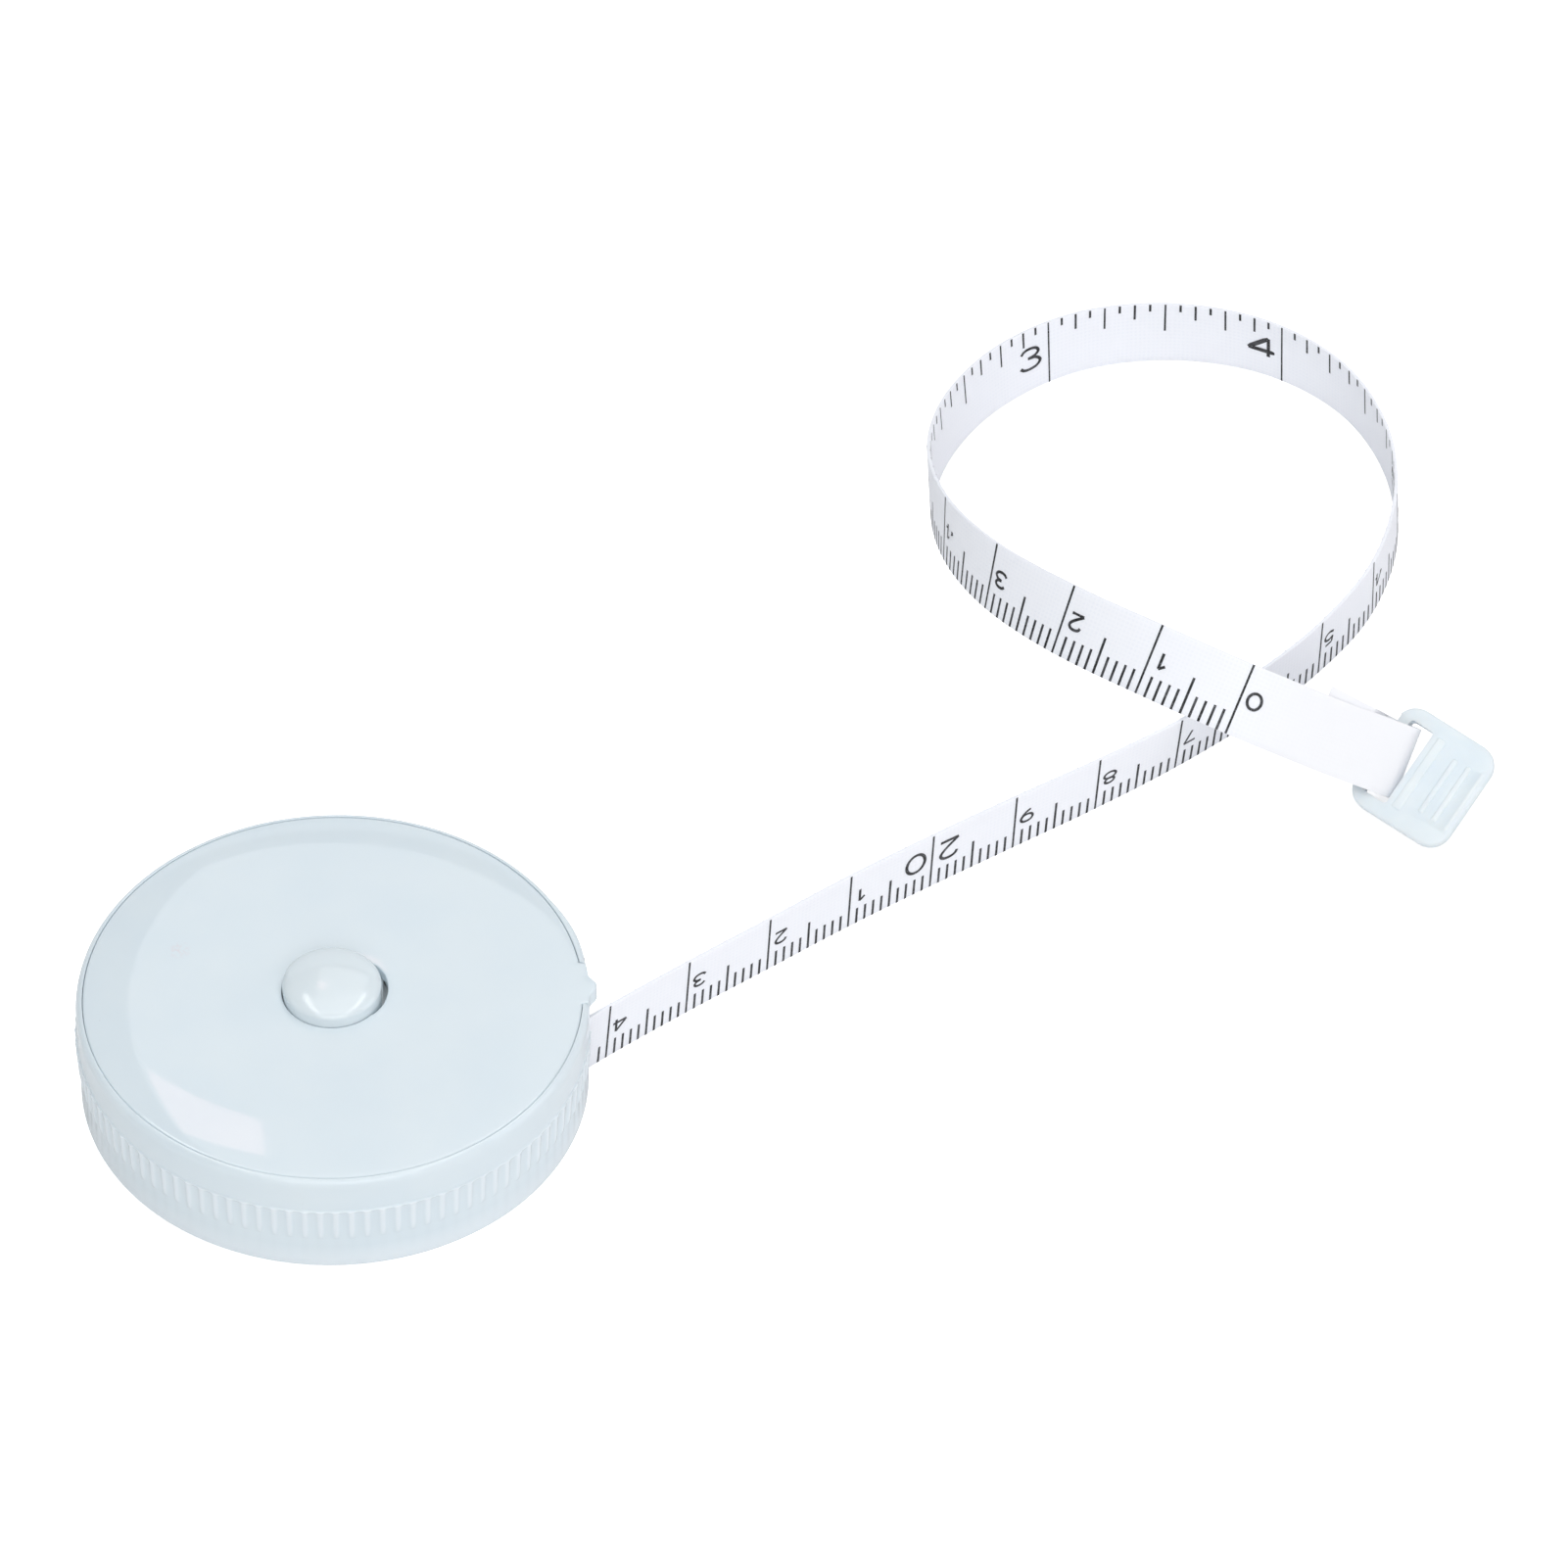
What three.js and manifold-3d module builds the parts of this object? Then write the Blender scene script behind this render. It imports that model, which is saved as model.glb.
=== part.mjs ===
// Retractable cloth tape measure: a round two-shell case with a ribbed grip band, a spring-driven
// drum, a push button that releases a sliding ratchet lock, and a printed tape that leaves the case
// at its side, makes one loop over itself and ends in a folded hem with a plastic pull tab.
// Millimetres, +Z up. The origin is the centre of the case's flat underside.

import * as THREE from 'three';
import { mergeVertices } from 'three/addons/utils/BufferGeometryUtils.js';
import Module from 'manifold-3d';

// Driving dimensions

// Clearances: between pieces that touch, and between pieces that run on each other.
const SEAT_GAP = 0.15;
const RUNNING_GAP = 0.1;
const CUT_OVERRUN = 0.5;

// Case: a shallow cup with a smooth foot band, a ribbed grip band and a smooth shoulder band.
// Its height follows from what is stacked in it, up to the drum, with headroom for the cover.
const SHOULDER_RADIUS = 25.1;
const FOOT_INSET = 0.2;
const GROOVE_INSET = 0.4;
const RIB_PROUD = 0.25;
const RIB_BOTTOM = 4.15;
const RIB_TOP = 8.1;
const RIB_COUNT = 104;
const RIB_FOOT_WIDTH = 0.7;
const RIB_CREST_WIDTH = 0.45;
const RIB_ROOT_DEPTH = 0.3;
const SHOULDER_ROUND = 0.6;
const FOOT_ROUND = 0.5;
const CASE_WALL = 1.5;
const FLOOR_THICKNESS = 1.0;
const RIM_FLAT = 0.05;
const SNAP_DEPTH = 0.25;

// Cover: an inset disc, slightly domed, with a tongue that closes the top of the tape's mouth.
const COVER_THICKNESS = 1.15;
const COVER_CROWN = 0.5;
const COVER_HEADROOM = 0.95;
const COVER_SKIRT_WIDTH = 0.5;
const COVER_SKIRT_DEPTH = 0.75;
const TONGUE_REACH = 0.95;
const TONGUE_DEPTH = 1.7;
const TONGUE_BEFORE_DEG = -1.5;
const TONGUE_AFTER_DEG = 10.5;
const TONGUE_PEAK_DEG = 3.5;
const TONGUE_TAPER = 1.5;

// Mouth: the notch in the wall that the tape leaves by. Its angles, and the tongue's, are counted
// from where the tape crosses the wall.
const MOUTH_BEFORE_DEG = -2.1;
const MOUTH_AFTER_DEG = 11.1;
const MOUTH_CLEARANCE = 0.2;

// Push button: domed head, retaining flange and a hollow stem with a cam cone.
const BUTTON_RADIUS = 4.95;
const BUTTON_RISE = 2.1;
const BUTTON_DOME = 1.2;
const BUTTON_FLANGE = 0.8;
const BUTTON_FLANGE_THICKNESS = 0.7;
const BUTTON_TRAVEL = 1.3;
const BUTTON_HOLE_GAP = 0.15;
const KEYWAY_DEPTH = 0.4;
const KEYWAY_START_DEG = -38;
const KEYWAY_END_DEG = 78;
const KEY_WIDTH = 1.0;
const KEY_BITE = 0.4;
const STEM_WALL = 0.5;
const CAM_HEIGHT = 2.1;
const CAM_SLOPE_SHARE = 0.7;
const DOME_BULGE_SHARE = 0.8;

// Button return spring, round the guide pin and inside the stem.
const BUTTON_SPRING_WIRE = 0.35;
const BUTTON_SPRING_GAP = 0.275;
const BUTTON_SPRING_TURNS = 4;

// Centre post of the cup: slotted for the mainspring, stepped down to the button's guide pin.
const POST_RADIUS = 2.2;
const PIN_RADIUS = 1.0;
const PIN_HEIGHT = 2.8;
const POST_SLOT_WIDTH = 0.7;
const POST_SLOT_SILL = 0.8;

// Locking slide: a yoke plate around the stem, its nose meshing with the drum's ratchet ring.
const SLIDE_THICKNESS = 1.1;
const SLIDE_CORNER = 1.6;
const YOKE_EASE = 1.3;
const YOKE_SPRING_SIDE = 2.45;
const YOKE_NOSE_SIDE = 1.35;
const NOSE_TEETH = 2;
const TOOTH_GAP = 0.17;

// Rails under the cover that carry the slide, and the stop that its spring pushes on.
const RAIL_FLANGE_GAP = 0.3;
const RAIL_GAP = 0.25;
const RAIL_WIDTH = 0.9;
const RAIL_HALF_LENGTH = 4.6;
const RAIL_LIP = 0.75;
const RAIL_LIP_THICKNESS = 0.45;
const STOP_WIDTH = 2.6;
const STOP_THICKNESS = 0.8;
const SLIDE_SPRING_WIRE = 0.3;
const SLIDE_SPRING_RADIUS = 0.65;
const SLIDE_SPRING_LENGTH = 2.7;
const SLIDE_SPRING_TURNS = 3;

// Drum: hub with a web that runs on the post, a lower flange and an inner ratchet ring. Its radius
// follows from the rails inside it, its flanges from the length of tape that it takes.
const RATCHET_TEETH = 36;
const RATCHET_EASE = 1.57;
const RATCHET_TOOTH_DEPTH = 0.7;
const RATCHET_RIM = 0.5;
const RATCHET_RISE = 0.6;
const DRUM_WALL = 0.9;
const DRUM_LIFT = 0.35;
const WEB_THICKNESS = 0.6;
const WEB_HEADROOM = 0.5;
const FLANGE_RIM = 0.67;
const FLANGE_THICKNESS = 0.5;
const TAPE_SIDE_GAP = 0.4;
const SPIGOT_WALL = 0.45;
const SPIGOT_RISE = 0.65;
const SPRING_NOTCH_WIDTH = 0.8;
const TOP_FLANGE_THICKNESS = 0.5;
const WASHER_THICKNESS = 0.15;
const WASHER_INSET = 0.9;

// Mainspring: a flat steel spiral between the post and the drum.
const MAINSPRING_STRIP = 0.3;
const MAINSPRING_SIDE_GAP = 0.3;
const MAINSPRING_LIFT = 0.65;
const MAINSPRING_TURNS = 9;
const MAINSPRING_END_GAP = 0.55;
const MAINSPRING_HOOK = 1.0;
const MAINSPRING_HOOK_DEG = 60;
const MAINSPRING_BEND_SHARES = [0.75, 0.3];

// Tape: woven-fibre strip, 1500 mm long, of which this much is out of the case.
const TAPE_WIDTH = 7.5;
const TAPE_THICKNESS = 0.35;
const TAPE_LENGTH = 1500;
const TAPE_OUT = 243;
const TAPE_LAYER = 0.38;
const TAPE_JOIN_GAP = 0.3;
const TAPE_STEPS = 80;
const TAPE_MOUTH_LEAN_DEG = -3.4;

// The free tape's centre line from the mouth to the fold: x, y, z in millimetres, and how far the
// strip leans from upright, in degrees, positive where its upper edge turns to its left.
const TAPE_ROUTE = [
  [24.7, -0.2, 5.45, -3.4],
  [26.7, 1.6, 5.3, -3.6],
  [34.5, 7.9, 5.0, -3.9],
  [42.4, 13.9, 4.8, -3.9],
  [50.4, 19.9, 4.7, -3.6],
  [58.6, 25.7, 4.5, -3.5],
  [66.9, 31.3, 4.3, -3.7],
  [75.2, 36.8, 4.1, -5.1],
  [83.4, 42.6, 4.0, -7.0],
  [91.0, 49.1, 3.9, -5.9],
  [97.9, 56.3, 3.9, -3.3],
  [103.4, 64.6, 4.1, -0.4],
  [106.1, 74.2, 4.3, 1.6],
  [105.5, 84.1, 4.4, 2.2],
  [101.4, 93.2, 4.3, 1.7],
  [93.9, 99.6, 4.1, -0.2],
  [84.3, 102.3, 3.9, -3.2],
  [74.5, 100.7, 4.1, -7.0],
  [66.4, 95.1, 4.7, -9.1],
  [61.0, 86.8, 5.8, -8.3],
  [58.9, 77.3, 7.5, -3.8],
  [60.4, 67.6, 9.6, 4.9],
  [64.9, 59.0, 11.4, 17.0],
  [72.0, 52.0, 12.2, 30.5],
  [80.5, 46.7, 11.8, 39.5],
  [89.4, 42.6, 10.3, 43.1],
  [98.7, 39.9, 7.6, 42.6],
  [102.4, 39.4, 6.2, 41.8],
  [106.5, 39.1, 4.3, 40.8],
];

// Folded end of the tape: round the tab's bar and back under itself.
const HEM_LENGTH = 10.8;
const FLAP_LENGTH = 9.9;
const LOOP_RADIUS = 1.5;
const LOOP_LENGTH = 3.9;
const HEM_CLOSE_LENGTH = 2.6;
const FLAP_GAP = 0.15;
const FLAP_SKEW = 0.9;
const LOOP_STEPS = 8;

// Pull tab: a rounded plate with a slot for the tape, a bar and three grip ridges.
const TAB_LENGTH = 11.6;
const TAB_WIDTH = 11.7;
const TAB_THICKNESS = 1.1;
const TAB_CORNER = 2.3;
const TAB_EDGE_ROUND = 0.3;
const TAB_BAR_START = 0.28;
const TAB_SLOT_START = 1.5;
const TAB_SLOT_END = 4.2;
const TAB_SLOT_LENGTH = 8.6;
const TAB_RIDGE_HEIGHT = 0.3;
const TAB_RIDGE_WIDTH = 0.75;
const TAB_RIDGE_PLACE_SHARES = [0.47, 0.67, 0.81];
const TAB_RIDGE_LENGTH_SHARES = [0.72, 0.55, 0.58];
const TAB_RIDGE_END_SHARE = 0.95;
const TAB_RIM_WIDTH = 0.8;
const TAB_SETBACK = 2.47;
const TAB_DROP = 1.75;
const TAB_SIDE_SHIFT = 0.23;
const TAB_YAW_DEG = -37.8;
const TAB_PITCH_DEG = 5.9;
const TAB_ROLL_DEG = 30.8;

// How finely round forms are cut.
const CASE_SEGMENTS = 72;
const DRUM_SEGMENTS = 60;
const SMALL_SEGMENTS = 24;
const ROUND_STEPS = 3;
const SPIRAL_STEPS = 24;
const HELIX_STEPS = 12;
const WIRE_SIDES = 6;
const WELD_TOLERANCE_SHARE = 2e-6;

const wasm = await Module();
wasm.setup();

// Geometry helpers

const radians = THREE.MathUtils.degToRad;

// Welds a geometry's vertices by position and drops the triangles that collapse.
function weld(geometry) {
  const bare = geometry.clone();
  bare.deleteAttribute('normal');
  bare.deleteAttribute('uv');
  const merged = mergeVertices(bare, WELD_TOLERANCE_SHARE * SHOULDER_RADIUS);
  const index = merged.index.array;
  const kept = [];
  for (let i = 0; i < index.length; i += 3) {
    const [a, b, c] = [index[i], index[i + 1], index[i + 2]];
    if (a !== b && b !== c && c !== a) kept.push(a, b, c);
  }
  merged.setIndex(kept);
  return merged;
}

function toSolid(geometry) {
  const merged = weld(geometry);
  return new wasm.Manifold(new wasm.Mesh({
    numProp: 3,
    vertProperties: new Float32Array(merged.attributes.position.array),
    triVerts: new Uint32Array(merged.index.array),
  }));
}

function toGeometry(solid) {
  const mesh = solid.getMesh();
  const geometry = new THREE.BufferGeometry();
  geometry.setAttribute('position', new THREE.BufferAttribute(mesh.vertProperties, 3));
  geometry.setIndex(new THREE.BufferAttribute(mesh.triVerts, 1));
  return geometry;
}

const join = (...solids) => solids.reduce((whole, solid) => whole.add(solid));
const cut = (body, ...tools) => tools.reduce((whole, tool) => whole.subtract(tool), body);

// Revolves a profile of [radius, height] pairs about Z.
function revolve(profile, segments = CASE_SEGMENTS) {
  const points = profile.map(([radius, height]) => new THREE.Vector2(radius, height));
  return new THREE.LatheGeometry(points, segments).rotateX(Math.PI / 2);
}

// Revolves a closed ring profile, given counter-clockwise in radius and height.
function revolveRing(profile, segments) {
  return revolve([...profile, profile[0]], segments);
}

// Extrudes a flat shape from one height to another.
function prism(shape, bottom, top, curveSegments = SMALL_SEGMENTS) {
  const depth = top - bottom;
  const options = { depth, bevelEnabled: false, curveSegments };
  return new THREE.ExtrudeGeometry(shape, options).translate(0, 0, bottom);
}

function block([x0, x1], [y0, y1], [z0, z1]) {
  const geometry = new THREE.BoxGeometry(x1 - x0, y1 - y0, z1 - z0);
  return geometry.translate((x0 + x1) / 2, (y0 + y1) / 2, (z0 + z1) / 2);
}

// Points of an arc in a profile, about (cx, cy), from one angle to another, both ends included.
function arc(cx, cy, radius, startDeg, endDeg, steps = ROUND_STEPS) {
  const points = [];
  for (let i = 0; i <= steps; i += 1) {
    const angle = radians(startDeg + (endDeg - startDeg) * i / steps);
    points.push([cx + radius * Math.cos(angle), cy + radius * Math.sin(angle)]);
  }
  return points;
}

const shapeOf = (points) => new THREE.Shape(points.map(([x, y]) => new THREE.Vector2(x, y)));
const polar = (radius, angle) => [radius * Math.cos(angle), radius * Math.sin(angle)];

// A rectangle with rounded corners, from (x0, y0) to (x1, y1).
function roundedRectangle(x0, y0, x1, y1, corner) {
  const steps = 2 * ROUND_STEPS;
  return [
    ...arc(x1 - corner, y0 + corner, corner, -90, 0, steps),
    ...arc(x1 - corner, y1 - corner, corner, 0, 90, steps),
    ...arc(x0 + corner, y1 - corner, corner, 90, 180, steps),
    ...arc(x0 + corner, y0 + corner, corner, 180, 270, steps),
  ];
}

// Skins a closed tube through rings that all have the same number of points, and caps its ends.
// The points of a ring run clockwise, seen along the tube.
function skin(rings) {
  const sides = rings[0].length;
  const positions = rings.flat().flatMap((point) => [point.x, point.y, point.z]);
  const index = [];
  for (let i = 0; i + 1 < rings.length; i += 1) {
    for (let j = 0; j < sides; j += 1) {
      const a = i * sides + j;
      const b = i * sides + (j + 1) % sides;
      index.push(a, a + sides, b, b, a + sides, b + sides);
    }
  }
  const last = (rings.length - 1) * sides;
  for (let j = 1; j + 1 < sides; j += 1) {
    index.push(0, j, j + 1);
    index.push(last, last + j + 1, last + j);
  }
  const geometry = new THREE.BufferGeometry();
  geometry.setAttribute('position', new THREE.Float32BufferAttribute(positions, 3));
  geometry.setIndex(index);
  return geometry;
}

// A flat strip through stations, each with its centre, its width direction and its face direction.
function strip(stations, width, thickness) {
  return skin(stations.map(({ centre, across, face }) => {
    const corner = (a, f) => centre.clone()
      .addScaledVector(across, a * width / 2)
      .addScaledVector(face, f * thickness / 2);
    return [corner(-1, -1), corner(-1, 1), corner(1, 1), corner(1, -1)];
  }));
}

// The least clear distance between turns of a wound wire or strip, measured on its centre points.
function leastGap(name, points, thickness, stepsApart) {
  let least = Infinity;
  for (let i = 0; i < points.length; i += 1) {
    for (let j = i + stepsApart; j < points.length; j += 1) {
      least = Math.min(least, points[i].distanceTo(points[j]));
    }
  }
  console.log(`${name}: least gap to itself ${(least - thickness).toFixed(2)} mm`);
}

// Heights and radii that several pieces share

const drumBottom = FLOOR_THICKNESS + DRUM_LIFT;
const lowerFlangeTop = drumBottom + FLANGE_THICKNESS;
const tapeBottom = lowerFlangeTop + TAPE_SIDE_GAP;
const tapeTop = tapeBottom + TAPE_WIDTH;
const drumTop = tapeTop;
const spigotTop = drumTop + SPIGOT_RISE;
const coverUnderside = spigotTop + COVER_HEADROOM;
const coverTop = coverUnderside + COVER_THICKNESS;
const caseHeight = coverTop - COVER_CROWN;
const coverBottom = caseHeight - COVER_THICKNESS;
const ledge = coverBottom - SEAT_GAP;
const flangeTop = coverUnderside - SEAT_GAP;
const flangeBottom = flangeTop - BUTTON_FLANGE_THICKNESS;
const slideTop = flangeBottom - CAM_HEIGHT;
const slideBottom = slideTop - SLIDE_THICKNESS;
const railLipTop = slideBottom - SEAT_GAP;
const railFoot = railLipTop - RAIL_LIP_THICKNESS;
const webTop = railFoot - WEB_HEADROOM;
const webBottom = webTop - WEB_THICKNESS;
const postShoulder = webTop;
const stemBottom = postShoulder + BUTTON_TRAVEL + RUNNING_GAP;
const mainspringBottom = drumBottom + MAINSPRING_LIFT;
const mainspringTop = webBottom - MAINSPRING_SIDE_GAP;

const wallInner = SHOULDER_RADIUS - CASE_WALL;
const footRadius = SHOULDER_RADIUS - FOOT_INSET;
const grooveRadius = SHOULDER_RADIUS - GROOVE_INSET;
const ribCrestRadius = SHOULDER_RADIUS + RIB_PROUD;
const rimInner = SHOULDER_RADIUS - SHOULDER_ROUND - RIM_FLAT;
const coverRadius = rimInner - SEAT_GAP;
const skirtOuter = wallInner - SEAT_GAP;
const skirtBottom = coverBottom - COVER_SKIRT_DEPTH;
const buttonHole = BUTTON_RADIUS + BUTTON_HOLE_GAP;
const buttonFlangeRadius = BUTTON_RADIUS + BUTTON_FLANGE;
const buttonSpringRadius = PIN_RADIUS + BUTTON_SPRING_GAP + BUTTON_SPRING_WIRE / 2;
const stemBore = buttonSpringRadius + BUTTON_SPRING_WIRE / 2 + BUTTON_SPRING_GAP;
const stemRadius = stemBore + STEM_WALL;
const yokeRadius = stemRadius + YOKE_EASE;
const yokeCentre = stemRadius + SEAT_GAP - yokeRadius;
const slideEast = yokeCentre + yokeRadius + YOKE_SPRING_SIDE;
const slideWest = yokeCentre - yokeRadius - YOKE_NOSE_SIDE;
const railInner = buttonFlangeRadius + RAIL_FLANGE_GAP;
const slideHalfWidth = railInner - RAIL_GAP;
const stopFace = slideEast + 2 * SEAT_GAP + SLIDE_SPRING_LENGTH;
const ratchetTip = Math.hypot(RAIL_HALF_LENGTH, railInner + RAIL_WIDTH) + RATCHET_EASE;
const ratchetRoot = ratchetTip + RATCHET_TOOTH_DEPTH;
const toothPitch = 2 * Math.PI / RATCHET_TEETH;
const drumInner = ratchetRoot + RATCHET_RIM;
const drumRadius = drumInner + DRUM_WALL;
const packInner = drumRadius + SEAT_GAP;
const packRadiusFor = (length) => Math.sqrt(packInner ** 2 + length * TAPE_LAYER / Math.PI);
const packRadius = packRadiusFor(TAPE_LENGTH - TAPE_OUT);
const flangeRadius = packRadiusFor(TAPE_LENGTH) + FLANGE_RIM;
const mainspringInner = POST_RADIUS + MAINSPRING_END_GAP;
const mainspringOuter = drumInner - MAINSPRING_END_GAP;

// The tape's stations

const routePoints = TAPE_ROUTE.map(([x, y, z]) => new THREE.Vector3(x, y, z));
const routeCurve = new THREE.CatmullRomCurve3(routePoints, false, 'centripetal');
routeCurve.arcLengthDivisions = 50 * TAPE_ROUTE.length;

// The lean at a share of the route, by a straight line between the two nearest listed points.
const leanCurve = new THREE.CatmullRomCurve3(
  TAPE_ROUTE.map((row, i) => new THREE.Vector3(i, row[3], 0)), false, 'centripetal');

function tapeFrame(centre, tangent, lean) {
  const left = new THREE.Vector3(-tangent.y, tangent.x, 0).normalize();
  const upright = new THREE.Vector3().crossVectors(tangent, left).normalize();
  const across = upright.multiplyScalar(Math.cos(lean)).addScaledVector(left, Math.sin(lean));
  const face = new THREE.Vector3().crossVectors(tangent, across).normalize();
  return { centre, tangent, across, face };
}

// A station of the free tape at a share of the whole route's length.
function routeStation(share) {
  const t = routeCurve.getUtoTmapping(share);
  const lean = radians(leanCurve.getPoint(t).y);
  return tapeFrame(routeCurve.getPoint(t), routeCurve.getTangent(t).normalize(), lean);
}

const routeLength = routeCurve.getLength();
const hemShare = 1 - HEM_LENGTH / routeLength;
const foldStation = routeStation(1);
const mouthStation = routeStation(0);
const mouthSill = mouthStation.centre.z - TAPE_WIDTH / 2 - MOUTH_CLEARANCE;

// Where a line from the mouth touches the circle that the tape leaves the drum on.
const leaveRadius = packRadius + TAPE_JOIN_GAP + TAPE_THICKNESS / 2;
const mouthDistance = Math.hypot(mouthStation.centre.x, mouthStation.centre.y);
const leaveAngle = Math.atan2(mouthStation.centre.y, mouthStation.centre.x)
  - Math.acos(leaveRadius / mouthDistance);
const leadHeading = leaveAngle + Math.PI / 2;

// Where that line crosses the case's wall.
const mouthAngle = leaveAngle + Math.acos(leaveRadius / grooveRadius);

// Rear case

function ribRing() {
  const ribAngle = 2 * Math.PI / RIB_COUNT;
  const inside = grooveRadius - RIB_ROOT_DEPTH;
  const outline = [];
  for (let i = 0; i < RIB_COUNT; i += 1) {
    const middle = (i + 0.5) * ribAngle;
    const foot = RIB_FOOT_WIDTH / 2 / inside;
    const crest = RIB_CREST_WIDTH / 2 / ribCrestRadius;
    outline.push(polar(inside, middle - foot), polar(ribCrestRadius, middle - crest));
    outline.push(polar(ribCrestRadius, middle + crest), polar(inside, middle + foot));
  }
  const shape = shapeOf(outline);
  const bore = new THREE.Path();
  bore.absarc(0, 0, (wallInner + inside) / 2, 0, 2 * Math.PI, true);
  shape.holes.push(bore);
  return prism(shape, RIB_BOTTOM, RIB_TOP + RIB_ROOT_DEPTH / 2, CASE_SEGMENTS);
}

// The straight slot that the tape runs through the wall in, along the tape's own heading.
function tapeSlot() {
  const width = TAPE_THICKNESS + 2 * TAPE_JOIN_GAP;
  const centre = mouthStation.centre;
  const height = TAPE_WIDTH + 3 * TAPE_JOIN_GAP;
  const slot = new THREE.BoxGeometry(SHOULDER_RADIUS, width, height);
  return slot.rotateZ(leadHeading).translate(centre.x, centre.y, mouthSill + height / 2);
}

function mouthNotch() {
  const inner = wallInner - CUT_OVERRUN;
  const outer = ribCrestRadius + CUT_OVERRUN;
  const start = mouthAngle + radians(MOUTH_BEFORE_DEG);
  const end = mouthAngle + radians(MOUTH_AFTER_DEG);
  const shape = shapeOf([
    polar(inner, start), polar(outer, start), polar(outer, end), polar(inner, end),
  ]);
  return prism(shape, mouthSill, caseHeight + CUT_OVERRUN);
}

function rearCase() {
  const snapMiddle = (skirtBottom + ledge) / 2;
  const cup = revolve([
    [0, 0],
    ...arc(footRadius - FOOT_ROUND, FOOT_ROUND, FOOT_ROUND, -90, 0),
    [footRadius, RIB_BOTTOM],
    [grooveRadius, RIB_BOTTOM],
    [grooveRadius, RIB_TOP],
    [SHOULDER_RADIUS, RIB_TOP],
    ...arc(SHOULDER_RADIUS - SHOULDER_ROUND, caseHeight - SHOULDER_ROUND, SHOULDER_ROUND, 0, 90),
    [rimInner, ledge],
    [wallInner, ledge],
    [wallInner, snapMiddle + SNAP_DEPTH],
    [wallInner + SNAP_DEPTH, snapMiddle],
    [wallInner, snapMiddle - SNAP_DEPTH],
    [wallInner, FLOOR_THICKNESS],
    [POST_RADIUS, FLOOR_THICKNESS],
    [POST_RADIUS, postShoulder],
    [PIN_RADIUS, postShoulder],
    [PIN_RADIUS, postShoulder + PIN_HEIGHT],
    [0, postShoulder + PIN_HEIGHT],
  ]);
  const postSlot = block(
    [PIN_RADIUS, POST_RADIUS + CUT_OVERRUN],
    [-POST_SLOT_WIDTH / 2, POST_SLOT_WIDTH / 2],
    [FLOOR_THICKNESS + POST_SLOT_SILL, postShoulder + CUT_OVERRUN],
  );
  const body = join(toSolid(cup), toSolid(ribRing()));
  return toGeometry(cut(body, toSolid(postSlot), toSolid(mouthNotch()), toSolid(tapeSlot())));
}

// Front cover

// Height of the cover's crown at a radius: nearly flat in the middle, rolling off at the edge.
const crownAt = (radius) => coverTop - COVER_CROWN * (radius / coverRadius) ** 4;

function tongue() {
  const steps = 4 * ROUND_STEPS;
  const sweep = TONGUE_AFTER_DEG - TONGUE_BEFORE_DEG;
  const outline = [polar(wallInner, mouthAngle + radians(TONGUE_BEFORE_DEG))];
  for (let i = 0; i <= steps; i += 1) {
    const angle = TONGUE_BEFORE_DEG + sweep * i / steps;
    const side = angle < TONGUE_PEAK_DEG ? TONGUE_BEFORE_DEG : TONGUE_AFTER_DEG;
    const fall = (angle - TONGUE_PEAK_DEG) / (side - TONGUE_PEAK_DEG);
    const reach = TONGUE_REACH * Math.cos(fall * Math.PI / 2) ** TONGUE_TAPER;
    outline.push(polar(SHOULDER_RADIUS + reach, mouthAngle + radians(angle)));
  }
  outline.push(polar(wallInner, mouthAngle + radians(TONGUE_AFTER_DEG)));
  return prism(shapeOf(outline), caseHeight - TONGUE_DEPTH, crownAt(coverRadius));
}

// The lobe of the button hole: a keyway cut wider on one side.
function keyway() {
  const outline = arc(0, 0, buttonHole + KEYWAY_DEPTH, KEYWAY_START_DEG, KEYWAY_END_DEG,
    2 * SMALL_SEGMENTS / 3);
  outline.push([0, 0]);
  return prism(shapeOf(outline), coverUnderside - CUT_OVERRUN, coverTop + CUT_OVERRUN);
}

// One rail: an upright wall beside the slide with a lip that holds the slide up.
function rail(side) {
  const inner = side * railInner;
  const outer = side * (railInner + RAIL_WIDTH);
  const lip = side * (railInner - RAIL_LIP);
  const ends = [-RAIL_HALF_LENGTH, RAIL_HALF_LENGTH];
  const sorted = (a, b) => [Math.min(a, b), Math.max(a, b)];
  const wall = block(ends, sorted(inner, outer), [railFoot, coverUnderside + SEAT_GAP]);
  const ledgeBlock = block(ends, sorted(lip, outer), [railFoot, railLipTop]);
  return toSolid(wall).add(toSolid(ledgeBlock));
}

// A short finger beside the button that enters a notch in its flange, so that it can't turn.
function buttonKey() {
  const reach = [buttonFlangeRadius - KEY_BITE, buttonFlangeRadius + KEY_WIDTH];
  const height = [flangeBottom - BUTTON_TRAVEL - SEAT_GAP, coverUnderside + SEAT_GAP];
  return block([-reach[1], -reach[0]], [-KEY_WIDTH / 2, KEY_WIDTH / 2], height);
}

function springStop() {
  return block([stopFace, stopFace + STOP_THICKNESS], [-STOP_WIDTH / 2, STOP_WIDTH / 2],
    [slideBottom - SLIDE_SPRING_WIRE, coverUnderside + SEAT_GAP]);
}

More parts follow.
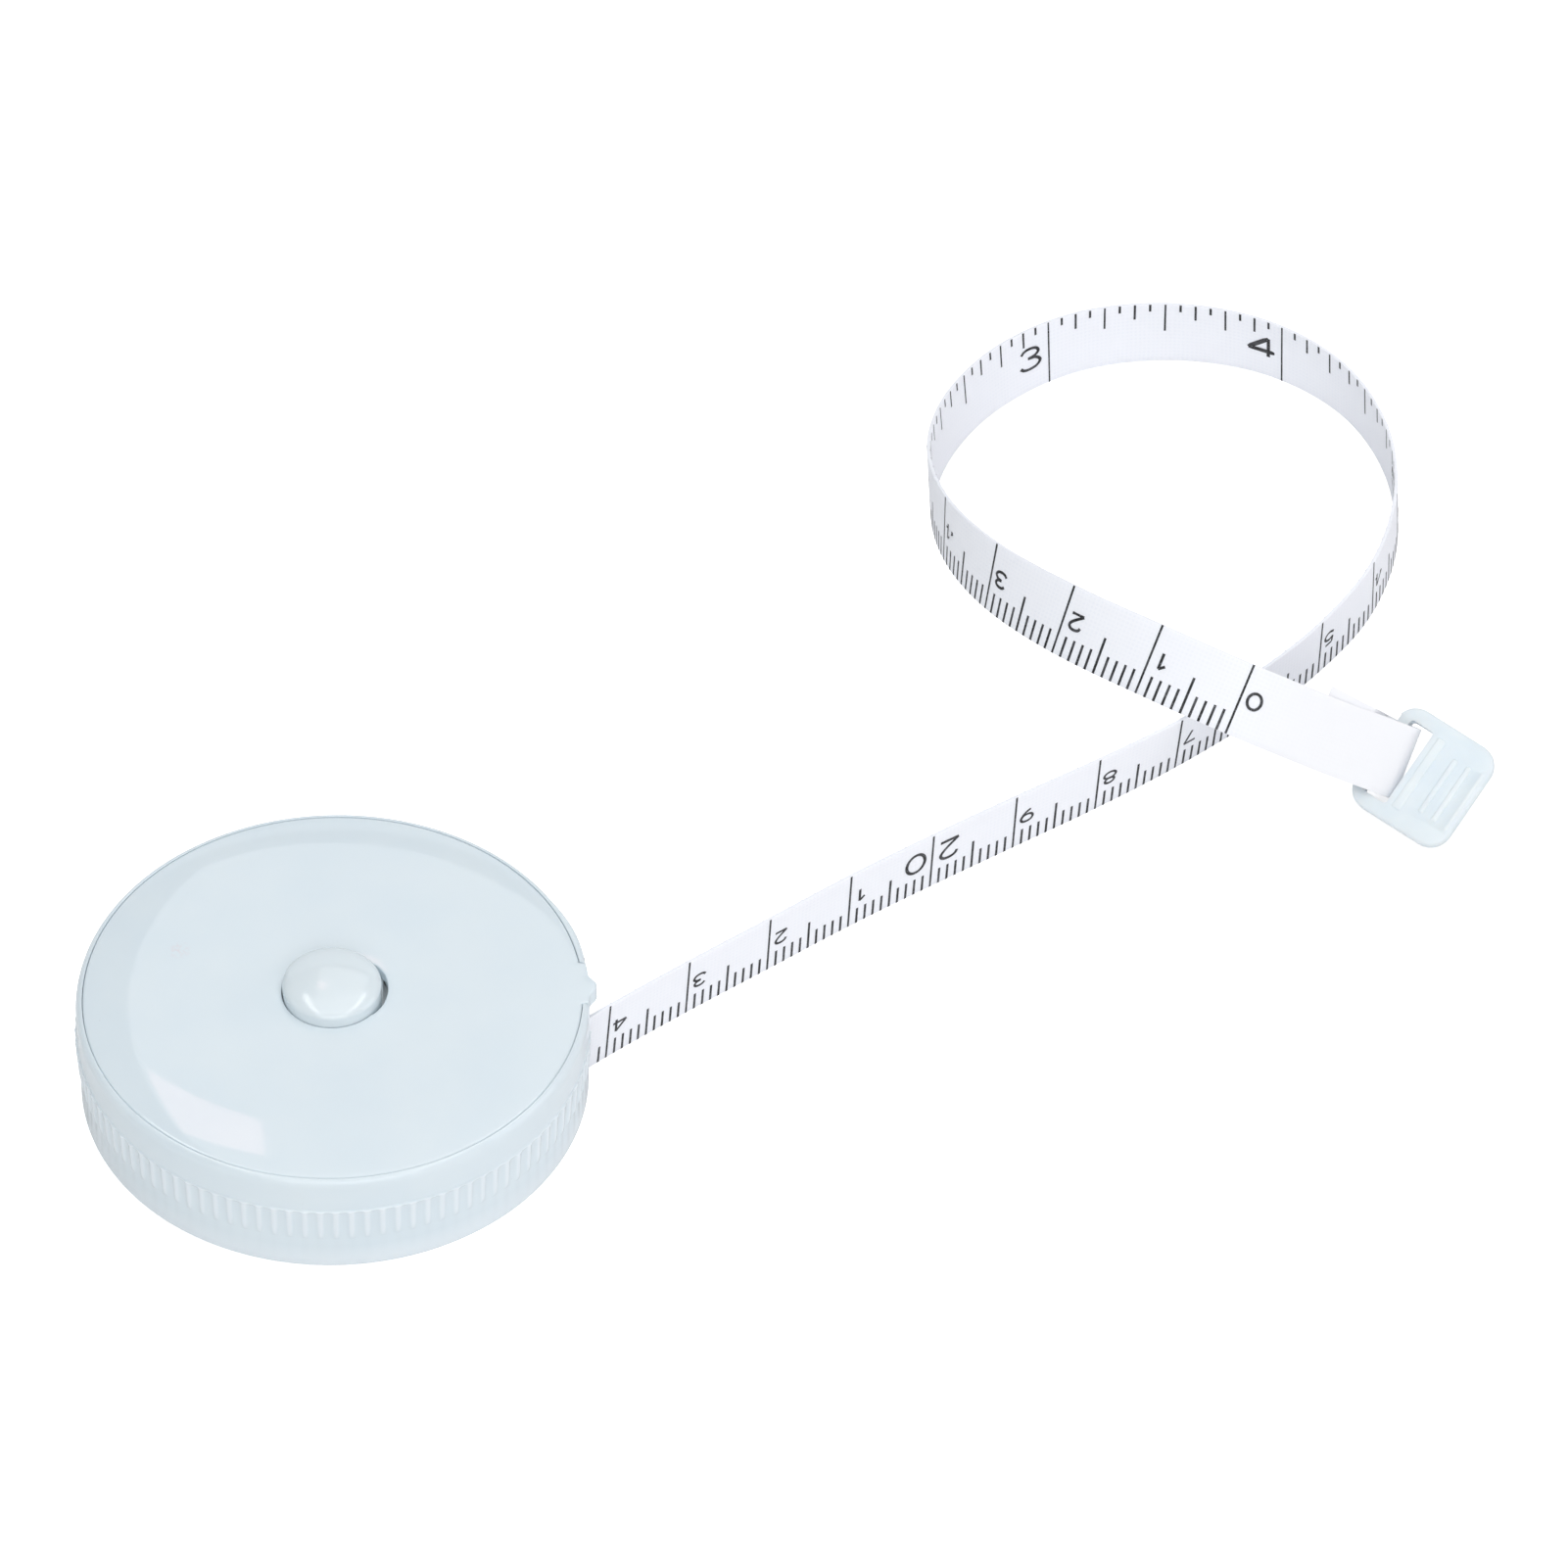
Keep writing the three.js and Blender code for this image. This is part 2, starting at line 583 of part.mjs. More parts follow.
function frontCover() {
  const snapMiddle = (skirtBottom + ledge) / 2;
  const crownSteps = 6;
  const crown = [];
  for (let i = crownSteps; i >= 0; i -= 1) {
    const radius = buttonHole + (coverRadius - buttonHole) * (i / crownSteps) ** 0.6;
    crown.push([radius, crownAt(radius)]);
  }
  const disc = revolveRing([
    [buttonHole, coverUnderside],
    [drumRadius, coverUnderside],
    [skirtOuter - COVER_SKIRT_WIDTH, coverBottom],
    [skirtOuter - COVER_SKIRT_WIDTH, skirtBottom],
    [skirtOuter, skirtBottom],
    [skirtOuter, snapMiddle - SNAP_DEPTH],
    [skirtOuter + SNAP_DEPTH, snapMiddle],
    [skirtOuter, snapMiddle + SNAP_DEPTH],
    [skirtOuter, coverBottom],
    [coverRadius, coverBottom],
    ...crown,
  ]);
  const body = join(toSolid(disc), toSolid(tongue()), rail(1), rail(-1),
    toSolid(springStop()), toSolid(buttonKey()));
  return toGeometry(body.subtract(toSolid(keyway())));
}

// Push button

function pushButton() {
  const top = coverTop + BUTTON_RISE;
  const shoulder = top - BUTTON_DOME;
  const camTop = flangeBottom;
  const camRadius = stemRadius + CAM_SLOPE_SHARE * CAM_HEIGHT;
  const domeSteps = 3 * ROUND_STEPS;
  const dome = [];
  for (let i = 0; i < domeSteps; i += 1) {
    const angle = Math.PI / 2 * i / domeSteps;
    const rise = BUTTON_DOME * Math.sin(angle) ** DOME_BULGE_SHARE;
    dome.push([BUTTON_RADIUS * Math.cos(angle), shoulder + rise]);
  }
  const body = revolve([
    [0, flangeTop],
    [stemBore, flangeTop],
    [stemBore, stemBottom],
    [stemRadius, stemBottom],
    [stemRadius, slideTop],
    [camRadius, camTop],
    [buttonFlangeRadius, flangeBottom],
    [buttonFlangeRadius, flangeTop],
    [BUTTON_RADIUS, flangeTop],
    ...dome,
    [0, top],
  ], 2 * SMALL_SEGMENTS);
  const notchInner = buttonFlangeRadius - KEY_BITE - RUNNING_GAP;
  const notchHalf = KEY_WIDTH / 2 + RUNNING_GAP;
  const notch = block([-buttonFlangeRadius - CUT_OVERRUN, -notchInner], [-notchHalf, notchHalf],
    [flangeBottom - CUT_OVERRUN, flangeTop + CUT_OVERRUN]);
  return toGeometry(toSolid(body).subtract(toSolid(notch)));
}

// A helical spring about an axis along Z, with flat end turns left out.
function helix(name, radius, wire, turns, bottom, top) {
  const steps = Math.round(turns * HELIX_STEPS);
  const low = bottom + wire / 2;
  const high = top - wire / 2;
  const centres = [];
  for (let i = 0; i <= steps; i += 1) {
    const angle = 2 * Math.PI * turns * i / steps;
    const [x, y] = polar(radius, angle);
    centres.push(new THREE.Vector3(x, y, low + (high - low) * i / steps));
  }
  leastGap(name, centres, wire, HELIX_STEPS - 2);
  const rings = centres.map((centre) => {
    const outward = new THREE.Vector3(centre.x, centre.y, 0).normalize();
    const ring = [];
    for (let j = 0; j < WIRE_SIDES; j += 1) {
      const [out, up] = polar(wire / 2, 2 * Math.PI * j / WIRE_SIDES);
      const point = centre.clone().addScaledVector(outward, out);
      point.z += up;
      ring.push(point);
    }
    return ring;
  });
  return skin(rings);
}

function buttonSpring() {
  return helix('button_spring', buttonSpringRadius, BUTTON_SPRING_WIRE, BUTTON_SPRING_TURNS,
    postShoulder + SEAT_GAP, flangeTop - SEAT_GAP);
}

// Locking slide and its spring

// The nose: a neck from the plate to the ratchet ring, with its teeth in the ring's spaces. Each
// tooth has a steep face that blocks rewinding and a long slope that the ring clicks over when
// the tape is pulled out.
function slideNose() {
  const root = ratchetTip - 2 * TOOTH_GAP;
  const tip = ratchetRoot - 2 * TOOTH_GAP;
  const sideGap = TOOTH_GAP / ratchetTip;
  const first = Math.PI - NOSE_TEETH * toothPitch / 2;
  const outline = [];
  for (let i = 0; i < NOSE_TEETH; i += 1) {
    const start = first + i * toothPitch;
    const end = start + toothPitch - sideGap;
    outline.push(polar(root, start + sideGap), polar(tip, end), polar(root, end));
  }
  const plateEdge = slideWest + SLIDE_CORNER / 2;
  const half = outline[0][1];
  outline.push([plateEdge, -half], [plateEdge, half]);
  return prism(shapeOf(outline), slideBottom, slideTop);
}

function lockingSlide() {
  const plate = shapeOf(roundedRectangle(slideWest, -slideHalfWidth, slideEast,
    slideHalfWidth, SLIDE_CORNER));
  const yoke = new THREE.Path();
  yoke.absarc(yokeCentre, 0, yokeRadius, 0, 2 * Math.PI, true);
  plate.holes.push(yoke);
  return toGeometry(join(toSolid(prism(plate, slideBottom, slideTop)), toSolid(slideNose())));
}

function slideSpring() {
  const spring = helix('slide_spring', SLIDE_SPRING_RADIUS, SLIDE_SPRING_WIRE,
    SLIDE_SPRING_TURNS, 0, SLIDE_SPRING_LENGTH);
  const height = slideBottom + SLIDE_THICKNESS / 2;
  return spring.rotateY(Math.PI / 2).translate(slideEast + SEAT_GAP, 0, height);
}

// Drum

function ratchetRing() {
  const outline = [];
  for (let i = 0; i < RATCHET_TEETH; i += 1) {
    outline.push(polar(ratchetRoot, i * toothPitch));
    outline.push(polar(ratchetTip, i * toothPitch));
  }
  const shape = new THREE.Shape();
  shape.absarc(0, 0, drumInner + DRUM_WALL / 2, 0, 2 * Math.PI, false);
  shape.holes.push(new THREE.Path(outline.map(([x, y]) => new THREE.Vector2(x, y))));
  return prism(shape, webTop - WEB_THICKNESS / 2, slideTop + RATCHET_RISE, DRUM_SEGMENTS / 2);
}

function spoolDrum() {
  const spigotRadius = drumInner + SPIGOT_WALL;
  const body = revolveRing([
    [drumInner, drumBottom],
    [flangeRadius, drumBottom],
    [flangeRadius, drumBottom + FLANGE_THICKNESS],
    [drumRadius, drumBottom + FLANGE_THICKNESS],
    [drumRadius, drumTop],
    [spigotRadius, drumTop],
    [spigotRadius, drumTop + SPIGOT_RISE],
    [drumInner, drumTop + SPIGOT_RISE],
    [drumInner, webTop],
    [POST_RADIUS + RUNNING_GAP, webTop],
    [POST_RADIUS + RUNNING_GAP, webBottom],
    [drumInner, webBottom],
  ], DRUM_SEGMENTS);
  const notchHeight = mainspringTop - mainspringBottom + 2 * SEAT_GAP;
  const notch = new THREE.BoxGeometry(2 * (DRUM_WALL + CUT_OVERRUN), SPRING_NOTCH_WIDTH, notchHeight);
  notch.translate(drumRadius, 0, (mainspringBottom + mainspringTop) / 2);
  notch.rotateZ(radians(MAINSPRING_HOOK_DEG));
  return toGeometry(cut(join(toSolid(body), toSolid(ratchetRing())), toSolid(notch)));
}

function spoolFlange() {
  const bore = drumInner + SPIGOT_WALL + SEAT_GAP;
  const bottom = drumTop + SEAT_GAP;
  return revolveRing([
    [bore, bottom],
    [flangeRadius, bottom],
    [flangeRadius, bottom + TOP_FLANGE_THICKNESS],
    [bore, bottom + TOP_FLANGE_THICKNESS],
  ], DRUM_SEGMENTS);
}

function spoolWasher() {
  const bottom = FLOOR_THICKNESS + (DRUM_LIFT - WASHER_THICKNESS) / 2;
  return revolveRing([
    [POST_RADIUS + SEAT_GAP, bottom],
    [flangeRadius - WASHER_INSET, bottom],
    [flangeRadius - WASHER_INSET, bottom + WASHER_THICKNESS],
    [POST_RADIUS + SEAT_GAP, bottom + WASHER_THICKNESS],
  ], DRUM_SEGMENTS);
}

// The mainspring's spiral: its inner end turns into the post's slot, its outer end hooks into the
// drum's notch.
function mainspring() {
  const middle = (mainspringBottom + mainspringTop) / 2;
  const [bendOut, bendSide] = MAINSPRING_BEND_SHARES.map((share) => share * MAINSPRING_STRIP);
  const hookAngle = radians(MAINSPRING_HOOK_DEG);
  const sweep = hookAngle + 2 * Math.PI * MAINSPRING_TURNS;
  const lead = 2 * Math.PI / SPIRAL_STEPS;
  const steps = Math.round((sweep - 2 * lead) / lead);
  const at = (x, y) => new THREE.Vector3(x, y, middle);
  const centres = [
    at(PIN_RADIUS + SEAT_GAP + MAINSPRING_STRIP / 2, 0),
    at(POST_RADIUS - MAINSPRING_STRIP / 2, 0),
    at(mainspringInner - bendOut, bendSide),
  ];
  const turns = [];
  for (let i = 0; i <= steps; i += 1) {
    const share = i / steps;
    const radius = mainspringInner
      + (mainspringOuter - mainspringInner) * share;
    turns.push(at(...polar(radius, lead + (sweep - 2 * lead) * share)));
  }
  leastGap('mainspring', turns, MAINSPRING_STRIP, SPIRAL_STEPS / 2);
  centres.push(...turns);
  const hookBend = hookAngle - MAINSPRING_STRIP / mainspringOuter;
  centres.push(at(...polar(mainspringOuter + MAINSPRING_STRIP / 4, hookBend)));
  centres.push(at(...polar(mainspringOuter + MAINSPRING_STRIP, hookAngle)));
  centres.push(at(...polar(mainspringOuter + MAINSPRING_HOOK, hookAngle)));
  const up = new THREE.Vector3(0, 0, 1);
  const stations = centres.map((centre, i) => {
    const before = centres[Math.max(i - 1, 0)];
    const after = centres[Math.min(i + 1, centres.length - 1)];
    const tangent = after.clone().sub(before).normalize();
    return { centre, across: up, face: new THREE.Vector3().crossVectors(tangent, up) };
  });
  return strip(stations, mainspringTop - mainspringBottom, MAINSPRING_STRIP);
}

// Tape

// The tape still on the drum: its outer face is one turn of a spiral that steps up by one layer
// where the tape leaves it.
function tapeWoundPack(leaveAngle) {
  const outline = [];
  for (let i = 0; i <= DRUM_SEGMENTS; i += 1) {
    const share = i / DRUM_SEGMENTS;
    const radius = packRadius - TAPE_LAYER * (1 - share);
    outline.push(polar(radius, leaveAngle + 2 * Math.PI * share));
  }
  const shape = shapeOf(outline);
  const bore = new THREE.Path();
  bore.absarc(0, 0, packInner, 0, 2 * Math.PI, true);
  shape.holes.push(bore);
  return prism(shape, tapeBottom, tapeTop, DRUM_SEGMENTS);
}

function tapeLead() {
  const [x, y] = polar(leaveRadius, leaveAngle);
  const start = new THREE.Vector3(x, y, (tapeBottom + tapeTop) / 2);
  const end = mouthStation.centre;
  const tangent = end.clone().sub(start).normalize();
  const stop = end.clone().addScaledVector(tangent, -TAPE_JOIN_GAP);
  const middle = start.clone().lerp(stop, 0.5);
  const lean = radians(TAPE_MOUTH_LEAN_DEG);
  return strip([
    tapeFrame(start, tangent, 0),
    tapeFrame(middle, tangent, lean / 2),
    tapeFrame(stop, tangent, lean),
  ], TAPE_WIDTH, TAPE_THICKNESS);
}

function tapeFree() {
  const stations = [];
  for (let i = 0; i <= TAPE_STEPS; i += 1) stations.push(routeStation(hemShare * i / TAPE_STEPS));
  console.log(`tape_free: ${(routeLength * hemShare).toFixed(1)} mm of ${routeLength.toFixed(1)} mm`);
  return strip(stations, TAPE_WIDTH, TAPE_THICKNESS);
}

// The folded end, in the strip's own frame at the fold: back along the tape, and down off its face.
function tapeHem() {
  const { centre, tangent, across, face } = foldStation;
  const place = (along, down, sideways) => centre.clone()
    .addScaledVector(tangent, -along)
    .addScaledVector(face, -down)
    .addScaledVector(across, sideways);
  const stations = [];
  const steps = LOOP_STEPS;
  for (let i = 0; i < steps; i += 1) {
    const back = HEM_LENGTH - TAPE_JOIN_GAP
      - (HEM_LENGTH - TAPE_JOIN_GAP - LOOP_RADIUS) * i / steps;
    stations.push(routeStation(1 - back / routeLength));
  }
  for (let i = 0; i <= steps; i += 1) {
    const angle = Math.PI * i / steps;
    const along = LOOP_RADIUS * (1 - Math.sin(angle));
    const down = LOOP_RADIUS * (1 - Math.cos(angle));
    stations.push({
      centre: place(along, down, 0),
      across,
      face: face.clone().multiplyScalar(Math.cos(angle))
        .addScaledVector(tangent, Math.sin(angle)),
    });
  }
  const lay = TAPE_THICKNESS + FLAP_GAP;
  for (let i = 1; i <= steps; i += 1) {
    const along = LOOP_RADIUS + (FLAP_LENGTH - LOOP_RADIUS) * i / steps;
    const rise = THREE.MathUtils.smoothstep(along, LOOP_LENGTH, LOOP_LENGTH + HEM_CLOSE_LENGTH);
    const depth = 2 * LOOP_RADIUS + (lay - 2 * LOOP_RADIUS) * rise;
    const above = routeStation(1 - along / routeLength);
    const skew = FLAP_SKEW * THREE.MathUtils.smoothstep(along, LOOP_RADIUS, FLAP_LENGTH);
    stations.push({
      centre: above.centre.clone().addScaledVector(above.face, -depth)
        .addScaledVector(above.across, skew),
      across: above.across,
      face: above.face.clone().negate(),
    });
  }
  return strip(stations, TAPE_WIDTH, TAPE_THICKNESS);
}

// Pull tab

// The plate lies in its own frame: length along X from the bar's edge, width along Y, face up Z,
// with the bar's middle at the origin.
function pullTab() {
  const barMiddle = (TAB_BAR_START + TAB_SLOT_START) / 2;
  const west = -barMiddle;
  const east = TAB_LENGTH - barMiddle;
  const half = TAB_WIDTH / 2;
  const inset = TAB_EDGE_ROUND;
  const outline = roundedRectangle(west + inset, -half + inset, east - inset, half - inset,
    TAB_CORNER - inset);
  const plate = new THREE.ExtrudeGeometry(shapeOf(outline), {
    depth: TAB_THICKNESS - 2 * inset,
    bevelThickness: inset,
    bevelSize: inset,
    bevelSegments: 2,
  }).translate(0, 0, inset - TAB_THICKNESS / 2);
  const through = [-TAB_THICKNESS, TAB_THICKNESS];
  const slotHalf = TAB_SLOT_LENGTH / 2;
  const slot = block([TAB_SLOT_START - barMiddle, TAB_SLOT_END - barMiddle],
    [-slotHalf, slotHalf], through);
  const thinBar = block([west - CUT_OVERRUN, TAB_BAR_START - barMiddle],
    [-slotHalf, slotHalf], through);
  let body = cut(toSolid(plate), toSolid(slot), toSolid(thinBar));
  const raise = (x, reach, width) => {
    const ridge = shapeOf(roundedRectangle(x - width, -reach, x + width, reach, TAB_RIDGE_END_SHARE * width));
    const height = TAB_THICKNESS / 2 + TAB_RIDGE_HEIGHT;
    body = body.add(toSolid(prism(ridge, -height, height)));
  };
  TAB_RIDGE_PLACE_SHARES.forEach((placeShare, i) => {
    const reach = TAB_RIDGE_LENGTH_SHARES[i] * TAB_WIDTH / 2;
    raise(placeShare * TAB_LENGTH - barMiddle, reach, TAB_RIDGE_WIDTH / 2);
  });
  raise(east - TAB_RIM_WIDTH / 2 - inset, half - TAB_CORNER, TAB_RIM_WIDTH / 2);
  return toGeometry(body);
}

function placeTab(mesh) {
  const { centre, tangent, across, face } = foldStation;
  mesh.position.copy(centre)
    .addScaledVector(tangent, -TAB_SETBACK)
    .addScaledVector(across, TAB_SIDE_SHIFT)
    .addScaledVector(face, -TAB_DROP);
  mesh.rotation.set(radians(TAB_ROLL_DEG), radians(TAB_PITCH_DEG), radians(TAB_YAW_DEG), 'ZYX');
}

// Materials

const finish = (color, roughness, metalness = 0) => (
  new THREE.MeshStandardMaterial({ color, roughness, metalness }));
const paleBlueGloss = finish('#dde8ee', 0.3);
const whiteInner = finish('#f2f3f1', 0.45);
const springSteel = finish('#8f959b', 0.35, 1);
const printedTape = finish('#f0f3fa', 0.6);
const blankTape = finish('#f7f8fa', 0.6);
const clearBlueTab = finish('#e4eef5', 0.3);
const slipWasher = finish('#e9e6dc', 0.6);

// Assembly

const assembly = new THREE.Group();
assembly.name = 'tape_measure';

function addPiece(name, geometry, material, parent = assembly) {
  const mesh = new THREE.Mesh(weld(geometry), material);
  mesh.geometry.computeVertexNormals();
  mesh.name = name;
  parent.add(mesh);
  return mesh;
}

const casework = new THREE.Group();
addPiece('rear_case', rearCase(), paleBlueGloss, casework);
addPiece('front_cover', frontCover(), paleBlueGloss, casework);

const button = new THREE.Group();
addPiece('push_button', pushButton(), paleBlueGloss, button);
addPiece('button_spring', buttonSpring(), springSteel, button);

const lock = new THREE.Group();
addPiece('locking_slide', lockingSlide(), whiteInner, lock);
addPiece('slide_spring', slideSpring(), springSteel, lock);

const spool = new THREE.Group();
addPiece('spool_drum', spoolDrum(), whiteInner, spool);
addPiece('spool_flange', spoolFlange(), whiteInner, spool);
addPiece('spool_washer', spoolWasher(), slipWasher, spool);
addPiece('mainspring', mainspring(), springSteel, spool);
addPiece('tape_wound', tapeWoundPack(leaveAngle), printedTape, spool);

const tape = new THREE.Group();
addPiece('tape_lead', tapeLead(), printedTape, tape);
addPiece('tape_free', tapeFree(), printedTape, tape);
addPiece('tape_hem', tapeHem(), blankTape, tape);
placeTab(addPiece('pull_tab', pullTab(), clearBlueTab, tape));

assembly.add(casework, button, lock, spool, tape);

export default assembly;
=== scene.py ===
# %% [markdown]
# # A pocket tape measure for cloth
# A round moulded case, pale blue and glossy, holds a spring drum with 1.5 m of printed tape. A push
# button in its cover lets the tape run back. The tape leaves the case at the side, makes one loop over
# itself and ends in a fold round the bar of a small pull tab. The inside parts come from the CAD model
# and only get their finishes here; everything that shows is modelled again, finer, in the same place.

import math

import bmesh
import bpy
import numpy as np
from mathutils import Euler, Matrix, Vector


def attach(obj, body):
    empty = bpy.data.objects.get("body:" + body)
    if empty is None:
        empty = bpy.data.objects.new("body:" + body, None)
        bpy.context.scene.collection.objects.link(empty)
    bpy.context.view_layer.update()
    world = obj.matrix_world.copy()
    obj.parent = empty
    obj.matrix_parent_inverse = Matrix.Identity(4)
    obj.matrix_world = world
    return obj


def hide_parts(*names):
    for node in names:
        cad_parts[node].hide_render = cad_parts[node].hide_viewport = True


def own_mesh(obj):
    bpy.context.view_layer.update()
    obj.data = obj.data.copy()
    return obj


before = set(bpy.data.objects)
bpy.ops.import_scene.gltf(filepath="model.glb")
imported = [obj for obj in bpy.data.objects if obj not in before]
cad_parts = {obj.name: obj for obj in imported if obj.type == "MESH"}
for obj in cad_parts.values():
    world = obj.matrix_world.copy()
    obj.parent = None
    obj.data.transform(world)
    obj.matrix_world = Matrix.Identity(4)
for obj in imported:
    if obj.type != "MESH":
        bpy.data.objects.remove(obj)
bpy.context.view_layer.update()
MM = 0.001

# %% [markdown]
# ## Camera
# A long lens far away keeps the case's circle an even ellipse, as in a catalogue picture. The printed
# scale gave the camera: about 150 of its marks were matched at once with the route of the tape.

# %% Camera
IMAGE_SIDE = 1601
FOCAL_PIXELS = 15000
SENSOR = 36
CAMERA_PLACE = (44.042, -991.94, 1047.007)
CAMERA_TILT = 44.607

bpy.ops.object.camera_add(location=Vector(CAMERA_PLACE) * MM, rotation=(math.radians(CAMERA_TILT), 0, 0))
camera = bpy.context.object
camera.name = "camera"
camera.data.sensor_width = SENSOR
camera.data.lens = SENSOR * FOCAL_PIXELS / IMAGE_SIDE
camera.data.clip_start = 0.05
camera.data.clip_end = 20
bpy.context.scene.camera = camera
print("lens in mm:", round(camera.data.lens, 1))

# %% [markdown]
# ## The way the tape lies
# The tape stands on its lower edge, because a strip bends easily only over its flat side. It runs out of
# the mouth, turns a loop, leans over where it climbs across itself and comes down to the tab. A smooth
# line through measured points gives its middle, and a lean angle at each point gives its tilt. The same
# points stand in the CAD source.

# %% Route of the tape
FINE_POINTS = 4000
TAPE_WIDTH = 7.5
TAPE_THICKNESS = 0.35
LEAD_GAP = 0.15
# Each row is a place in mm and the lean in degrees.
TAPE_ROUTE = [
    (24.7, -0.2, 5.45, -3.4), (26.7, 1.6, 5.3, -3.6), (34.5, 7.9, 5.0, -3.9), (42.4, 13.9, 4.8, -3.9),
    (50.4, 19.9, 4.7, -3.6), (58.6, 25.7, 4.5, -3.5), (66.9, 31.3, 4.3, -3.7), (75.2, 36.8, 4.1, -5.1),
    (83.4, 42.6, 4.0, -7.0), (91.0, 49.1, 3.9, -5.9), (97.9, 56.3, 3.9, -3.3), (103.4, 64.6, 4.1, -0.4),
    (106.1, 74.2, 4.3, 1.6), (105.5, 84.1, 4.4, 2.2), (101.4, 93.2, 4.3, 1.7), (93.9, 99.6, 4.1, -0.2),
    (84.3, 102.3, 3.9, -3.2), (74.5, 100.7, 4.1, -7.0), (66.4, 95.1, 4.7, -9.1), (61.0, 86.8, 5.8, -8.3),
    (58.9, 77.3, 7.5, -3.8), (60.4, 67.6, 9.6, 4.9), (64.9, 59.0, 11.4, 17.0), (72.0, 52.0, 12.2, 30.5),
    (80.5, 46.7, 11.8, 39.5), (89.4, 42.6, 10.3, 43.1), (98.7, 39.9, 7.6, 42.6),
    (102.4, 39.4, 6.2, 41.8), (106.5, 39.1, 4.3, 40.8),
]


def smooth_line(points, t):
    """Points of the smooth line through the given points, at places t counted in points."""
    points = np.asarray(points, float)
    ends = np.vstack([2 * points[0] - points[1], points, 2 * points[-1] - points[-2]])
    first = np.clip(t.astype(int), 0, len(points) - 2)
    share = (t - first)[:, None]
    p0, p1, p2, p3 = (ends[first + k] for k in range(4))
    pairs = ((p0, p1), (p1, p2), (p2, p3))
    d0, d1, d2 = (np.linalg.norm(b - a, axis=1, keepdims=True) ** 0.5 for a, b in pairs)
    leave = ((p1 - p0) / d0 - (p2 - p0) / (d0 + d1) + (p2 - p1) / d1) * d1
    arrive = ((p2 - p1) / d1 - (p3 - p1) / (d1 + d2) + (p3 - p2) / d2) * d1
    bend = 3 * (p2 - p1) - 2 * leave - arrive
    twist = 2 * (p1 - p2) + leave + arrive
    return p1 + leave * share + bend * share**2 + twist * share**3


def unit(rows):
    return rows / np.linalg.norm(rows, axis=1, keepdims=True)


route_points = [row[:3] for row in TAPE_ROUTE]
lean_points = [(i, row[3], 0) for i, row in enumerate(TAPE_ROUTE)]
route_end = len(TAPE_ROUTE) - 1
fine_places = np.linspace(0, route_end, FINE_POINTS)
fine_steps = np.linalg.norm(np.diff(smooth_line(route_points, fine_places), axis=0), axis=1)
fine_lengths = np.concatenate([[0], np.cumsum(fine_steps)])
route_length = fine_lengths[-1]
print("tape from mouth to fold, mm:", round(route_length, 1))

# %% Stations along the tape
STATION_STEP = 0.5
NUDGE = 0.01


def route_stations(lengths):
    """Middle, direction, width direction and face direction at lengths along the route, in mm."""
    t = np.interp(lengths, fine_lengths, fine_places)
    middle = smooth_line(route_points, t)
    ahead = smooth_line(route_points, np.clip(t + NUDGE, 0, route_end))
    behind = smooth_line(route_points, np.clip(t - NUDGE, 0, route_end))
    along = unit(ahead - behind)
    left = unit(np.stack([-along[:, 1], along[:, 0], np.zeros(len(along))], axis=1))
    upright = unit(np.cross(along, left))
    lean = np.radians(smooth_line(lean_points, t)[:, 1])[:, None]
    across = np.cos(lean) * upright + np.sin(lean) * left
    return middle, along, across, unit(np.cross(along, across))


# %% [markdown]
# ## The folded end
# The blank end of the tape goes round the tab's bar and back under itself, where a weld or a dab of glue
# holds it. It was folded by hand, so the part underneath lies a little askew and peeps out at the edge.

# %% Fold, loop and flap
LOOP_RADIUS = 1.5
LOOP_LENGTH = 3.1
HEM_CLOSE_LENGTH = 2.3
FLAP_LENGTH = 10.4
FLAP_GAP = 0.08
FLAP_SKEW = 0.95
LOOP_STEPS = 17
FLAP_STEPS = 22


def ease(value, low, high):
    share = np.clip((value - low) / (high - low), 0, 1)
    return share * share * (3 - 2 * share)


top_lengths = np.arange(-LEAD_GAP, route_length - LOOP_RADIUS, STATION_STEP)
middle, along, across, face = route_stations(np.maximum(top_lengths, 0))
middle = middle + along * np.minimum(top_lengths, 0)[:, None]

fold_middle, fold_along, fold_across, fold_face = route_stations(np.array([route_length]))
turn = np.linspace(0, math.pi, LOOP_STEPS)[:, None]
loop_middle = fold_middle - fold_along * LOOP_RADIUS * (1 - np.sin(turn))
loop_middle = loop_middle - fold_face * LOOP_RADIUS * (1 - np.cos(turn))
loop_face = np.cos(turn) * fold_face + np.sin(turn) * fold_along
loop_across = np.repeat(fold_across, len(turn), axis=0)

back = np.linspace(LOOP_RADIUS, FLAP_LENGTH, FLAP_STEPS)[1:]
above = route_stations(route_length - back)
closed = ease(back, LOOP_LENGTH, LOOP_LENGTH + HEM_CLOSE_LENGTH)
depth = 2 * LOOP_RADIUS + (TAPE_THICKNESS + FLAP_GAP - 2 * LOOP_RADIUS) * closed
skew = FLAP_SKEW * (back - LOOP_RADIUS) / (FLAP_LENGTH - LOOP_RADIUS)
flap_middle = above[0] - above[3] * depth[:, None] + above[2] * skew[:, None]

tape_middle = np.vstack([middle, loop_middle, flap_middle])
tape_across = np.vstack([across, loop_across, above[2]])
tape_face = np.vstack([face, loop_face, -above[3]])
tape_steps = np.linalg.norm(np.diff(tape_middle, axis=0), axis=1)
tape_lengths = np.concatenate([[0], np.cumsum(tape_steps)]) - LEAD_GAP
print("free tape in all, mm:", round(tape_lengths[-1], 1))


